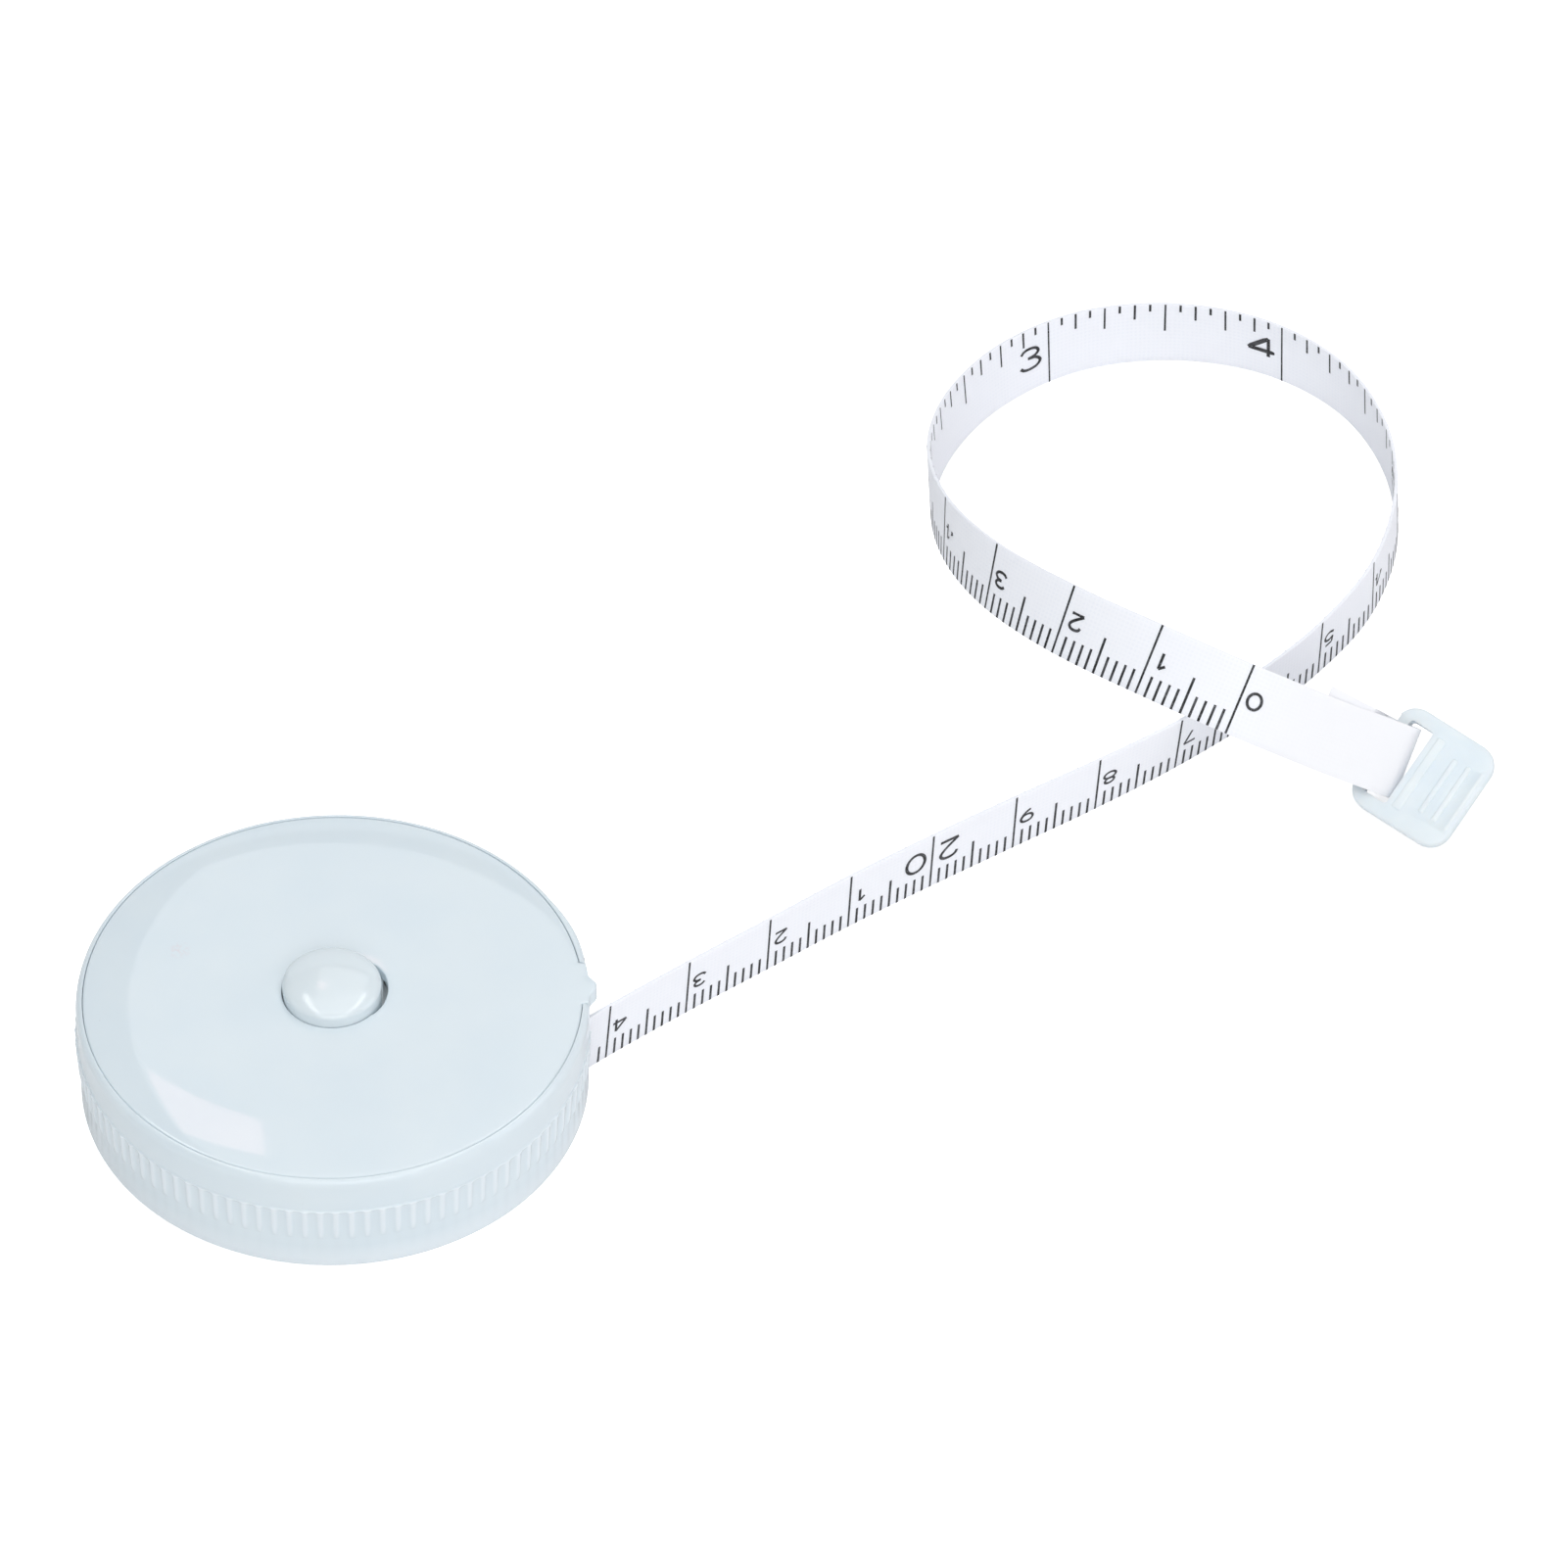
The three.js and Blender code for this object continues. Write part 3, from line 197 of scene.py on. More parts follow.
def on_tape(place):
    """World points, in mm, of rows of (length along, place across, height off the middle)."""
    lengths = place[:, 0]

    def at(rows):
        return np.stack([np.interp(lengths, tape_lengths, rows[:, k]) for k in range(3)], axis=1)

    return at(tape_middle) + unit(at(tape_across)) * place[:, 1:2] + unit(at(tape_face)) * place[:, 2:3]


# %% [markdown]
# ## The strip
# Such tape is a glass-fibre cloth coated with soft vinyl on both sides, slit to width. Its cross-section
# is a flat bar with edges that the coating rounds a little. It is a mesh tube along the stations, with a
# UV map in real millimetres, so that the weave can follow it round every bend.

# %% Cross-section of the strip
EDGE_ROUND = 0.06
EDGE_BEND = 0.3 * EDGE_ROUND
EDGE_FLAT = 0.04
ACROSS_STEPS = 10


def strip_section():
    """Closed outline of the strip as (across, height), clockwise seen along the tape."""
    half_width = TAPE_WIDTH / 2
    half_thick = TAPE_THICKNESS / 2
    flat = np.linspace(-half_width + EDGE_ROUND, half_width - EDGE_ROUND, ACROSS_STEPS + 1)
    top = [(a, half_thick) for a in flat]
    bottom = [(a, -half_thick) for a in flat[::-1]]
    edge = [(half_width - EDGE_BEND, half_thick - EDGE_BEND), (half_width, EDGE_FLAT)]
    edge += [(half_width, -EDGE_FLAT), (half_width - EDGE_BEND, -half_thick + EDGE_BEND)]
    other = [(-a, -h) for a, h in edge]
    return top + edge + bottom + other


def tube_rows(lengths, section):
    """Rows of (length, across, height) for a closed tube, and its faces with both ends closed."""
    count = len(section)
    rows = [(s, a, h) for s in lengths for a, h in section]
    faces = [
        (i * count + j, i * count + (j + 1) % count, (i + 1) * count + (j + 1) % count, (i + 1) * count + j)
        for i in range(len(lengths) - 1)
        for j in range(count)
    ]
    last = (len(lengths) - 1) * count
    faces.append(tuple(range(count))[::-1])
    faces.append(tuple(range(last, last + count)))
    return rows, faces


strip_rows, strip_faces = tube_rows(tape_lengths, strip_section())
print("strip:", len(strip_rows), "points")

# %% [markdown]
# ## The printed scale
# Centimetres on one side and inches on the other, both counted from the same zero line near the fold.
# The ink is a thin film, so each mark is a flat closed bar that stands a hair above the coating. The
# numerals are single strokes of a plotter pen: each is drawn once as a flat curve, made a mesh and then
# laid on the tape as often as it is needed.

# %% Bars of the scale
ZERO_LENGTH = 242.7
INCH = 25.4
INK_SINK = 0.05
INK_PROUD = 0.012
EDGE = TAPE_WIDTH / 2 - 0.04
LINE_WEIGHT = 0.23
TICK_WEIGHT = 0.27
INCH_LINE_WEIGHT = 0.18
MM_TICK = 2.2
HALF_TICK = 3.85
# Length and weight of an inch tick, by how many sixteenths it counts.
SIXTEENTHS = {1: (0.88, 0.25), 2: (1.85, 0.23), 4: (2.62, 0.2), 8: (3.45, 0.2)}


def ink_bar(length, start, end, weight, side):
    """One mark across the tape at a length, from start to end across, on side +1 or -1."""
    low, high = sorted(side * (TAPE_THICKNESS / 2 + h) for h in (-INK_SINK, INK_PROUD))
    near, far = length - weight / 2, length + weight / 2
    corners = ((near, start), (far, start), (far, end), (near, end))
    rows = [(s, a, h) for h in (low, high) for s, a in corners]
    faces = [(3, 2, 1, 0), (4, 5, 6, 7), (0, 1, 5, 4), (1, 2, 6, 5), (2, 3, 7, 6), (3, 0, 4, 7)]
    return rows, faces


bars = []
for millimetre in range(int(ZERO_LENGTH)):
    length = ZERO_LENGTH - millimetre
    if millimetre % 10 == 0:
        bars.append(ink_bar(length, -EDGE, EDGE, LINE_WEIGHT, 1))
    else:
        reach = MM_TICK if millimetre % 5 else HALF_TICK
        bars.append(ink_bar(length, -EDGE, -EDGE + reach, TICK_WEIGHT, 1))

for sixteenth in range(int(ZERO_LENGTH / INCH * 16)):
    length = ZERO_LENGTH - sixteenth * INCH / 16
    if sixteenth % 16 == 0:
        bars.append(ink_bar(length, -EDGE, EDGE, INCH_LINE_WEIGHT, -1))
    else:
        reach, weight = SIXTEENTHS[math.gcd(sixteenth, 8)]
        bars.append(ink_bar(length, EDGE - reach, EDGE, weight, -1))
print("bars of ink:", len(bars))

# %% Strokes of the numerals
NUMERAL_WIDTH = 0.86
STROKE_STEPS = 4


def oval(x, y, rx, ry):
    return [(x + rx * math.sin(a), y + ry * math.cos(a)) for a in np.linspace(0, 2 * math.pi, 17)]


TWO = [(0.03, 0.75), (0.12, 0.92), (0.40, 1.0), (0.69, 0.94), (0.80, 0.75), (0.66, 0.52), (0.0, 0.0)]
THREE = [(0.04, 0.83), (0.18, 0.96), (0.42, 1.0), (0.69, 0.93), (0.79, 0.76), (0.66, 0.60), (0.34, 0.54)]
BELLY = [(0.34, 0.54), (0.70, 0.47), (0.86, 0.27), (0.72, 0.07), (0.42, 0.0), (0.16, 0.05), (0.0, 0.19)]
BOWL = [(0.08, 0.54), (0.38, 0.64), (0.72, 0.56), (0.86, 0.33), (0.72, 0.08), (0.40, 0.0), (0.0, 0.17)]
SIX = [(0.68, 1.0), (0.34, 0.82), (0.08, 0.52), (0.0, 0.30), (0.12, 0.08), (0.42, 0.0), (0.74, 0.08)]
SIX += [(0.86, 0.31), (0.74, 0.53), (0.42, 0.62), (0.14, 0.53), (0.02, 0.36)]
STROKES = {
    "0": [oval(0.43, 0.5, 0.43, 0.5)],
    "1": [[(0.20, 0.72), (0.56, 1.0)], [(0.56, 1.0), (0.56, 0.0)]],
    "2": [TWO, [(0.0, 0.0), (0.84, 0.0)]],
    "3": [THREE, BELLY],
    "4": [[(0.7, 0.0), (0.7, 1.0)], [(0.7, 1.0), (-0.06, 0.28)], [(-0.06, 0.28), (0.94, 0.28)]],
    "5": [[(0.76, 1.0), (0.16, 1.0)], [(0.16, 1.0), (0.08, 0.54)], BOWL],
    "6": [SIX],
    "7": [[(0.0, 1.0), (0.84, 1.0)], [(0.84, 1.0), (0.30, 0.0)]],
    "8": [oval(0.43, 0.77, 0.34, 0.23), oval(0.43, 0.28, 0.43, 0.28)],
    "9": [[(0.86 - x, 1 - y) for x, y in SIX]],
}


def put_in_scene(name, data):
    piece = bpy.data.objects.new(name, data)
    bpy.context.collection.objects.link(piece)
    return piece


def work_on(piece):
    """The piece alone is selected and active."""
    bpy.ops.object.select_all(action="DESELECT")
    piece.select_set(True)
    bpy.context.view_layer.objects.active = piece


def pen_numeral(numeral, height, pen_weight):
    """One numeral as a closed mesh, drawn as curves with a round pen, read as rows and faces."""
    drawing = bpy.data.curves.new("numeral", "CURVE")
    drawing.dimensions = "3D"
    drawing.bevel_depth = pen_weight / 2
    drawing.bevel_resolution = 1
    drawing.use_fill_caps = True
    for stroke in STROKES[numeral]:
        corners = np.array([(x, y, 0) for x, y in stroke]) * height
        line = corners
        if len(stroke) > 2:
            line = smooth_line(corners, np.linspace(0, len(corners) - 1, STROKE_STEPS * len(corners)))
        spline = drawing.splines.new("POLY")
        spline.points.add(len(line) - 1)
        for point, place in zip(spline.points, line):
            point.co = (*place, 1)
    pen = put_in_scene("numeral", drawing)
    work_on(pen)
    bpy.ops.object.convert(target="MESH")
    rows = [tuple(v.co) for v in pen.data.vertices]
    faces = [tuple(p.vertices) for p in pen.data.polygons]
    bpy.data.objects.remove(pen)
    return rows, faces


# Height of the numeral, weight of the pen, gap to the line and place of the foot across the tape.
SMALL = (1.65, 0.46, 0.74, 1.12)
LARGE = (2.55, 0.58, 0.9, 2.06)
INCH_SIZE = (2.5, 0.5, 1.1, -1.06)
INCH_STRETCH = 1.2
numerals = {(n, size): pen_numeral(n, *size[:2]) for n in STROKES for size in (SMALL, LARGE, INCH_SIZE)}
print("numerals drawn:", len(numerals))


# %% Numerals laid on the tape
def lay_numeral(numeral, size, line, side, after=False):
    """A numeral before or after the line at a length. It reads towards the case."""
    height, pen_weight, gap, foot = size
    rows, faces = numerals[numeral, size]
    stretch = INCH_STRETCH if side < 0 else 1
    offset = gap if after else -gap - NUMERAL_WIDTH * height * stretch
    squash = (INK_SINK + INK_PROUD) / pen_weight
    film = TAPE_THICKNESS / 2 + (INK_PROUD - INK_SINK) / 2
    placed = [(line - offset - x * stretch, foot - side * y, side * (film + z * squash)) for x, y, z in rows]
    return placed, faces


marks = []
for centimetre in range(int(ZERO_LENGTH / 10) + 1):
    line = ZERO_LENGTH - 10 * centimetre
    text = str(centimetre)
    if centimetre and centimetre % 10 == 0:
        marks.append(lay_numeral(text[0], LARGE, line, 1))
        marks.append(lay_numeral(text[1], LARGE, line, 1, after=True))
    else:
        marks.append(lay_numeral(text[-1], SMALL, line, 1))
for inch in range(1, int(ZERO_LENGTH / INCH) + 1):
    marks.append(lay_numeral(str(inch), INCH_SIZE, ZERO_LENGTH - INCH * inch, -1))
print("numerals on the tape:", len(marks))

# %% [markdown]
# ## One mesh for the free tape
# Strip, bars and numerals are all described along the tape and across it, so one function can lay them
# in the world and join them in one mesh: the ink then can't slide off the tape.

# %% Free tape
def lay_mesh(name, parts, place):
    """One mesh at the origin from parts of (rows, faces, material number), with a UV map in mm."""
    rows, faces, numbers = [], [], []
    for part_rows, part_faces, number in parts:
        faces += [tuple(i + len(rows) for i in face) for face in part_faces]
        numbers += [number] * len(part_faces)
        rows += part_rows
    rows = np.array(rows)
    mesh = bpy.data.meshes.new(name)
    mesh.from_pydata(place(rows) * MM, [], faces)
    mesh.polygons.foreach_set("material_index", numbers)
    cloth = mesh.uv_layers.new(name="cloth_mm")
    corners = np.array([loop.vertex_index for loop in mesh.loops])
    cloth.data.foreach_set("uv", rows[corners, :2].ravel())
    return put_in_scene(name, mesh)


def smooth_sides(piece, degrees=30):
    """Smooth shading, with edges sharper than the angle kept crisp."""
    work_on(piece)
    bpy.ops.object.shade_smooth_by_angle(angle=math.radians(degrees))


parts = [(strip_rows, strip_faces, 0)]
parts += [(*mark, 1) for mark in bars + marks]
free_tape = lay_mesh("printed_tape", parts, on_tape)
smooth_sides(free_tape)
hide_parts("tape_free", "tape_hem")
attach(free_tape, "casework")
print("free tape mesh:", len(free_tape.data.polygons), "faces")

# %% [markdown]
# ## The tape inside
# From the mouth the tape runs straight to the drum and lies on it in thirteen tight turns. Both parts are
# the same strip, laid along other stations: a short straight run that untwists, and a spiral.

# %% Run to the drum
PACK_OUTER = 17.303
PACK_MIDDLE = 6.0
JOIN_GAP = 0.3
LEAD_STEPS = 18
lead_radius = PACK_OUTER + JOIN_GAP + TAPE_THICKNESS / 2
mouth = np.array(TAPE_ROUTE[0][:3])
leave_angle = math.atan2(mouth[1], mouth[0]) - math.acos(lead_radius / math.hypot(*mouth[:2]))
lead_start = np.array([lead_radius * math.cos(leave_angle), lead_radius * math.sin(leave_angle), PACK_MIDDLE])


def on_lead(place):
    """World points of rows counted in steps of the run from the drum to the mouth."""
    share = place[:, 0:1] / LEAD_STEPS
    run = tape_middle[0] - lead_start
    line = lead_start + run * share
    heading = unit(run[None, :])
    side = unit(np.cross([[0.0, 0.0, 1.0]], heading))
    lean = np.radians(TAPE_ROUTE[0][3]) * share
    tilt = np.cos(lean) * unit(np.cross(heading, side)) + np.sin(lean) * side
    return line + tilt * place[:, 1:2] + unit(np.cross(heading, tilt)) * place[:, 2:3]


lead_rows, lead_faces = tube_rows(range(LEAD_STEPS + 1), strip_section())
lead = lay_mesh("tape_to_drum", [(lead_rows, lead_faces, 0)], on_lead)
smooth_sides(lead)
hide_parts("tape_lead")
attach(lead, "casework")

# %% Turns on the drum
DRUM_PACK_RADIUS = 12.15
TAPE_LAYER = 0.38
PACK_STEPS = 90
pack_turns = (PACK_OUTER - DRUM_PACK_RADIUS - TAPE_LAYER) / TAPE_LAYER


def on_pack(place):
    """World points of rows counted in turns on the drum."""
    turn = place[:, 0:1]
    angle = leave_angle - 2 * math.pi * (pack_turns - turn)
    radius = DRUM_PACK_RADIUS + TAPE_LAYER * (turn + 0.5) + place[:, 2:3]
    return np.hstack([radius * np.cos(angle), radius * np.sin(angle), PACK_MIDDLE + place[:, 1:2]])


pack_places = np.linspace(0, pack_turns, int(pack_turns * PACK_STEPS))
pack_rows, pack_faces = tube_rows(pack_places, strip_section()[::-1])
pack = lay_mesh("tape_on_drum", [(pack_rows, pack_faces, 0)], on_pack)
smooth_sides(pack)
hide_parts("tape_wound")
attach(pack, "spool")
print("turns on the drum:", round(pack_turns, 1))

# %% [markdown]
# ## Floor, backdrop and light
# The picture was taken on white, in even light. The floor is white paper: a little light of its own,
# which only the camera sees, also through clear things, brings it to paper white, and what is left of
# the diffuse part keeps the shadow. The world is an even pale room that is white behind the object. A
# wide panel above, with a long strip on each side, lights the tops; panels all round light the sides,
# bluish ones at the back and on the left; and a small turned window makes the streak on the cover.

# %% One node with its settings and links
def hex_colour(text):
    """An sRGB hex colour as linear red, green, blue and alpha."""
    parts = [int(text[i:i + 2], 16) / 255 for i in (1, 3, 5)]
    return (*[c / 12.92 if c <= 0.04045 else ((c + 0.055) / 1.055) ** 2.4 for c in parts], 1.0)


def add_node(material, kind, settings, output=0):
    """Adds a node and gives its output. A setting is an attribute, or an input's value or socket."""
    tree = material.node_tree
    node = tree.nodes.new(kind)
    for key, value in settings.items():
        if isinstance(value, bpy.types.NodeSocket):
            tree.links.new(value, node.inputs[key])
        elif isinstance(key, str) and hasattr(node, key):
            setattr(node, key, value)
        else:
            node.inputs[key].default_value = hex_colour(value) if isinstance(value, str) else value
    return node.outputs[output] if len(node.outputs) else None


def bare_material(name):
    material = bpy.data.materials.new(name)
    material.use_nodes = True
    material.node_tree.nodes.clear()
    return material


def maths(material, operation, first, second):
    """The result of two sockets, as a socket."""
    return add_node(material, "ShaderNodeMath", {"operation": operation, 0: first, 1: second})


def seen_directly(material):
    """One for rays from the camera, also through clear things, and nought for all others."""
    rays = ("Is Camera Ray", "Is Transmission Ray")
    return maths(material, "MAXIMUM", *(add_node(material, "ShaderNodeLightPath", {}, ray) for ray in rays))


# %% Floor
FLOOR_SIDE = 12
FLOOR_DROP = 0.02
PAPER_GLOW = 0.56

bpy.ops.mesh.primitive_plane_add(size=FLOOR_SIDE, location=(0, 0, -FLOOR_DROP * MM))
floor = bpy.context.object
floor.name = "paper_floor"
bpy.ops.object.transform_apply()

paper = bare_material("white_paper")
glow = add_node(paper, "ShaderNodeMath", {"operation": "MULTIPLY", 0: seen_directly(paper), 1: PAPER_GLOW})
matt = add_node(paper, "ShaderNodeBsdfDiffuse", {"Color": "#F2F2F2"})
light = add_node(paper, "ShaderNodeEmission", {"Strength": glow})
both = add_node(paper, "ShaderNodeAddShader", {0: matt, 1: light})
add_node(paper, "ShaderNodeOutputMaterial", {"Surface": both})
floor.data.materials.append(paper)

# %% World and lamps
ROOM_LIGHT = 0.25
WINDOW_TURN = -17
# Name, direction, distance, width, height, brightness and, if not white, colour. Sizes are metres.
PANELS = [
    ("top", (0.05, 0.0, 1.0), 2.0, 1.9, 2.2, 1.08),
    ("left_strip", (-0.36, 0.0, 1.0), 2.0, 2.1, 0.22, 2.7),
    ("right_strip", (0.46, 0.0, 1.0), 2.0, 2.1, 0.22, 2.7),
    ("front_top", (0.0, -0.75, 0.66), 2.4, 2.8, 1.4, 1.0),
    ("front_fill", (0.1, -0.9, 0.35), 2.4, 2.4, 1.4, 1.4),
    ("right_fill", (0.95, -0.1, 0.3), 2.2, 1.4, 1.4, 1.25, (0.95, 0.94, 1.0)),
    ("back", (0.1, 0.6, 0.8), 2.2, 1.05, 1.0, 0.85),
    ("backdrop", (0.0, 0.95, 0.32), 2.4, 3.2, 1.5, 0.6, (0.85, 0.93, 1.0)),
    ("left_fill", (-0.95, -0.1, 0.3), 2.2, 1.4, 1.4, 0.4, (0.75, 0.9, 1.0)),
    ("window", (-0.0976, 0.6, 0.8), 2.0, 0.135, 0.215, 1.8, (1.0, 0.56, 0.55)),
]

world = bpy.data.worlds.new("pale_room")
bpy.context.scene.world = world
world.use_nodes = True
world.node_tree.nodes.clear()
level = add_node(world, "ShaderNodeMapRange", {"Value": seen_directly(world), "To Min": ROOM_LIGHT})
room = add_node(world, "ShaderNodeBackground", {"Color": "#FFFFFF", "Strength": level})
add_node(world, "ShaderNodeOutputWorld", {"Surface": room})


def soft_panel(name, direction, distance, width, height, radiance, tint=(1, 1, 1)):
    """A rectangular lamp in a direction from the case, turned to it, at a given brightness."""
    place = Vector(direction).normalized() * distance
    turn = (-place).to_track_quat("-Z", "Y").to_euler()
    bpy.ops.object.light_add(type="AREA", location=place, rotation=turn)
    lamp = bpy.context.object
    lamp.name = name
    lamp.data.shape = "RECTANGLE"
    lamp.data.size = width
    lamp.data.size_y = height
    lamp.data.energy = radiance * math.pi * width * height
    lamp.data.color = tint
    lamp.visible_camera = False
    return lamp


panels = {row[0]: soft_panel(*row) for row in PANELS}
panels["window"].rotation_euler.rotate_axis("Z", math.radians(WINDOW_TURN))
bpy.context.scene.view_settings.view_transform = "Standard"
print("lamps:", len(panels))

# %% [markdown]
# ## Turned forms
# Case, cover and button are round mouldings. Each starts as a circle that is drawn out ring by ring
# through its profile, as a potter pulls a wall up. What isn't round is then pulled out of single rings,
# or cut with a boolean.

# %% Ring by ring
def turn_profile(name, profile, count):
    """A circle drawn out through (radius, height) pairs in mm. It is left in edit mode."""
    radius, height = profile[0]
    bpy.ops.mesh.primitive_circle_add(vertices=count, radius=radius * MM, location=(0, 0, height * MM))
    piece = bpy.context.object
    piece.name = name
    bpy.ops.object.transform_apply()
    bpy.ops.object.mode_set(mode="EDIT")
    bpy.ops.mesh.select_all(action="SELECT")
    for (r0, z0), (r1, z1) in zip(profile, profile[1:]):
        bpy.ops.mesh.extrude_edges_move(TRANSFORM_OT_translate={"value": (0, 0, (z1 - z0) * MM)})
        bpy.ops.transform.resize(value=(r1 / r0, r1 / r0, 1), center_override=(0, 0, z1 * MM))
    return piece


def choose(piece, wanted):
    """Selects, in edit mode, the points for which wanted(radius, angle in degrees, height) holds."""
    mesh = bmesh.from_edit_mesh(piece.data)
    mesh.select_mode = {"VERT"}
    bpy.context.tool_settings.mesh_select_mode = (True, False, False)
    for vertex in mesh.verts:
        x, y, z = vertex.co / MM
        vertex.select = bool(wanted(math.hypot(x, y), math.degrees(math.atan2(y, x)), z))
    mesh.select_flush_mode()
    bmesh.update_edit_mesh(piece.data)


def swell(factor):
    """Moves the chosen points out from the axis."""
    bpy.ops.transform.resize(value=(factor, factor, 1), center_override=(0, 0, 0))


def face_out():
    """Ends edit mode with all faces pointing outwards."""
    bpy.ops.mesh.select_all(action="SELECT")
    bpy.ops.mesh.normals_make_consistent(inside=False)
    bpy.ops.object.mode_set(mode="OBJECT")


def block(name, x, y, z):
    """A cube stretched between two places on each axis, in mm."""
    middle = [sum(pair) / 2 * MM for pair in (x, y, z)]
    size = [(pair[1] - pair[0]) * MM for pair in (x, y, z)]
    bpy.ops.mesh.primitive_cube_add(size=1, location=middle, scale=size)
    piece = bpy.context.object
    piece.name = name
    bpy.ops.object.transform_apply()
    return piece


def combine(piece, tool, operation="DIFFERENCE"):
    """Cuts the tool out of the piece, or joins it to the piece, and removes the tool."""
    work_on(piece)
    modifier = piece.modifiers.new("combine", "BOOLEAN")
    modifier.object = tool
    modifier.operation = operation
    modifier.solver = "MANIFOLD"
    bpy.ops.object.modifier_apply(modifier=modifier.name)
    bpy.data.objects.remove(tool)


# %% [markdown]
# ## Case
# A shallow cup. From below: a rounded foot, a smooth band, the grip band with 104 low, narrow ribs that
# start at a ledge and fade out below, then the smooth shoulder and its rounded rim, which bulges a little
# beside the mouth. Ten points of the ring make one rib, so a rib is shaped by swelling each of those
# points by its own amount, ring after ring. Two plain rings over the ledge keep its shading off the wall.

# %% Case wall and floor
RIB_COUNT = 104
RIB_POINTS = 10
QUARTER = math.pi / 2
# Radius, height and rise of the ribs in each ring.
GRIP_RINGS = [
    (24.9, 3.8, 0.0), (24.91, 4.0, 0.05), (24.92, 4.2, 0.1), (24.93, 4.5, 0.14), (24.97, 5.2, 0.17),
    (25.09, 7.6, 0.19), (25.15, 7.8, 0.16), (25.2, 7.88, 0.12), (25.21, 7.95, 0.08), (25.18, 8.01, 0.04),
    (25.13, 8.06, 0.01), (25.1, 8.12, 0.0), (25.1, 8.3, 0.0), (25.1, 10.8, 0.0),
]
FOOT = [(24.6 + 0.3 * math.sin(a), 0.3 - 0.3 * math.cos(a)) for a in np.linspace(0, QUARTER, 7)]
SHOULDER = [(24.5 + 0.6 * math.cos(a), 11.0 + 1.0 * math.sin(a)) for a in np.linspace(0, QUARTER, 11)]
CASE_PROFILE = [(23.0, 0.0), *FOOT, *[(r, z) for r, z, _ in GRIP_RINGS], *SHOULDER]
CASE_PROFILE += [(24.46, 11.96), (24.45, 11.88), (24.45, 10.7), (23.6, 10.7), (23.6, 10.65)]
CASE_PROFILE += [(23.85, 10.4), (23.6, 10.15), (23.6, 1.3), (23.3, 1.0), (2.2, 1.0), (2.2, 6.2)]
CASE_PROFILE += [(1.0, 6.2), (1.0, 8.8), (0.8, 9.0)]

case = turn_profile("case_shell", CASE_PROFILE, RIB_COUNT * RIB_POINTS)
bpy.ops.mesh.merge(type="CENTER")
choose(case, lambda r, a, z: z < 0.001 and r < 23.01)
bpy.ops.mesh.merge(type="CENTER")
print("rings of the case:", len(CASE_PROFILE))

# %% Ribs
# Share of the rise, by how many points a place is from the crest.
RIB_SHAPE = {0: 1.0, 1: 0.85, 2: 0.4, 3: 0.08}
SAME_HEIGHT = 0.005


def rib_place(angle):
    """How many points an angle is from the crest of its rib."""
    point = round(angle / 360 * RIB_COUNT * RIB_POINTS) % RIB_POINTS
    return abs(point - RIB_POINTS // 2)


for radius, height, rise in GRIP_RINGS:
    for place, share in RIB_SHAPE.items():
        if rise * share:
            choose(case, lambda r, a, z: abs(z - height) < SAME_HEIGHT and r > 24.6 and rib_place(a) == place)
            swell((radius + rise * share) / radius)
print("case points:", len(case.data.vertices))

# %% Rim beside the mouth
BULGE = 0.2
BULGE_START = 9
BULGE_SPAN = 24
RIM_RADIUS = 25
LEDGE_TOP = 8.14
for degree in range(BULGE_START + 2, BULGE_START + BULGE_SPAN - 1):
    lift = BULGE * math.sin((degree - BULGE_START) / BULGE_SPAN * math.pi) ** 1.5
    choose(case, lambda r, a, z: r > 24.47 and z > LEDGE_TOP and degree - 0.5 <= a < degree + 0.5)
    swell(1 + lift / RIM_RADIUS)
face_out()

# %% Mouth and slots
MOUTH_ANGLE = math.radians(4.04)
MOUTH_CORNER = 0.35
MOUTH_BOX = ((22.6, 26.4), (-2.83, 2.83), (1.5, 13.0))
LEAD_SLOT_BOX = ((-12.5, 12.5), (-0.475, 0.475), (1.5, 9.9))
POST_SLOT_BOX = ((1.0, 2.7), (-0.35, 0.35), (1.8, 6.7))
mouth_cut = block("mouth_cut", *MOUTH_BOX)
work_on(mouth_cut)
bpy.ops.object.mode_set(mode="EDIT")
choose(mouth_cut, lambda r, a, z: z < 2)
bpy.ops.mesh.bevel(offset=MOUTH_CORNER * MM, segments=4, affect="EDGES")
bpy.ops.object.mode_set(mode="OBJECT")
mouth_cut.rotation_euler.z = MOUTH_ANGLE
bpy.ops.object.transform_apply()
combine(case, mouth_cut)

slot_cut = block("slot_cut", *LEAD_SLOT_BOX)
slot_cut.rotation_euler.z = leave_angle + QUARTER
slot_cut.location = (mouth[0] * MM, mouth[1] * MM, 0)
work_on(slot_cut)
bpy.ops.object.transform_apply()
combine(case, slot_cut)
combine(case, block("post_cut", *POST_SLOT_BOX))
smooth_sides(case, 32)
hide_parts("rear_case")
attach(case, "casework")
print("case faces:", len(case.data.polygons))

# %% [markdown]
# ## Cover
# An inset disc that is nearly flat in the middle and rolls off towards its edge, so that a window
# reflection stretches near the rim. Its button hole lies a hair towards the back and is wider on the
# right, where the mould leaves room: this is the dark crescent beside the button. At the mouth its edge
# bulges out as a tongue that keeps the tape down. Under it are the snap skirt, two rails for the lock, a
# stop and a key.

# %% Cover disc
COVER_POINTS = 720
CROWN_HEIGHT = 12.5
HOLE_RADIUS = 4.97
COVER_RADIUS = 24.4


def crown(radius):
    """Height of the cover's top, which falls by half a millimetre towards its edge."""
    return CROWN_HEIGHT - 0.5 * (radius / 24.3) ** 6


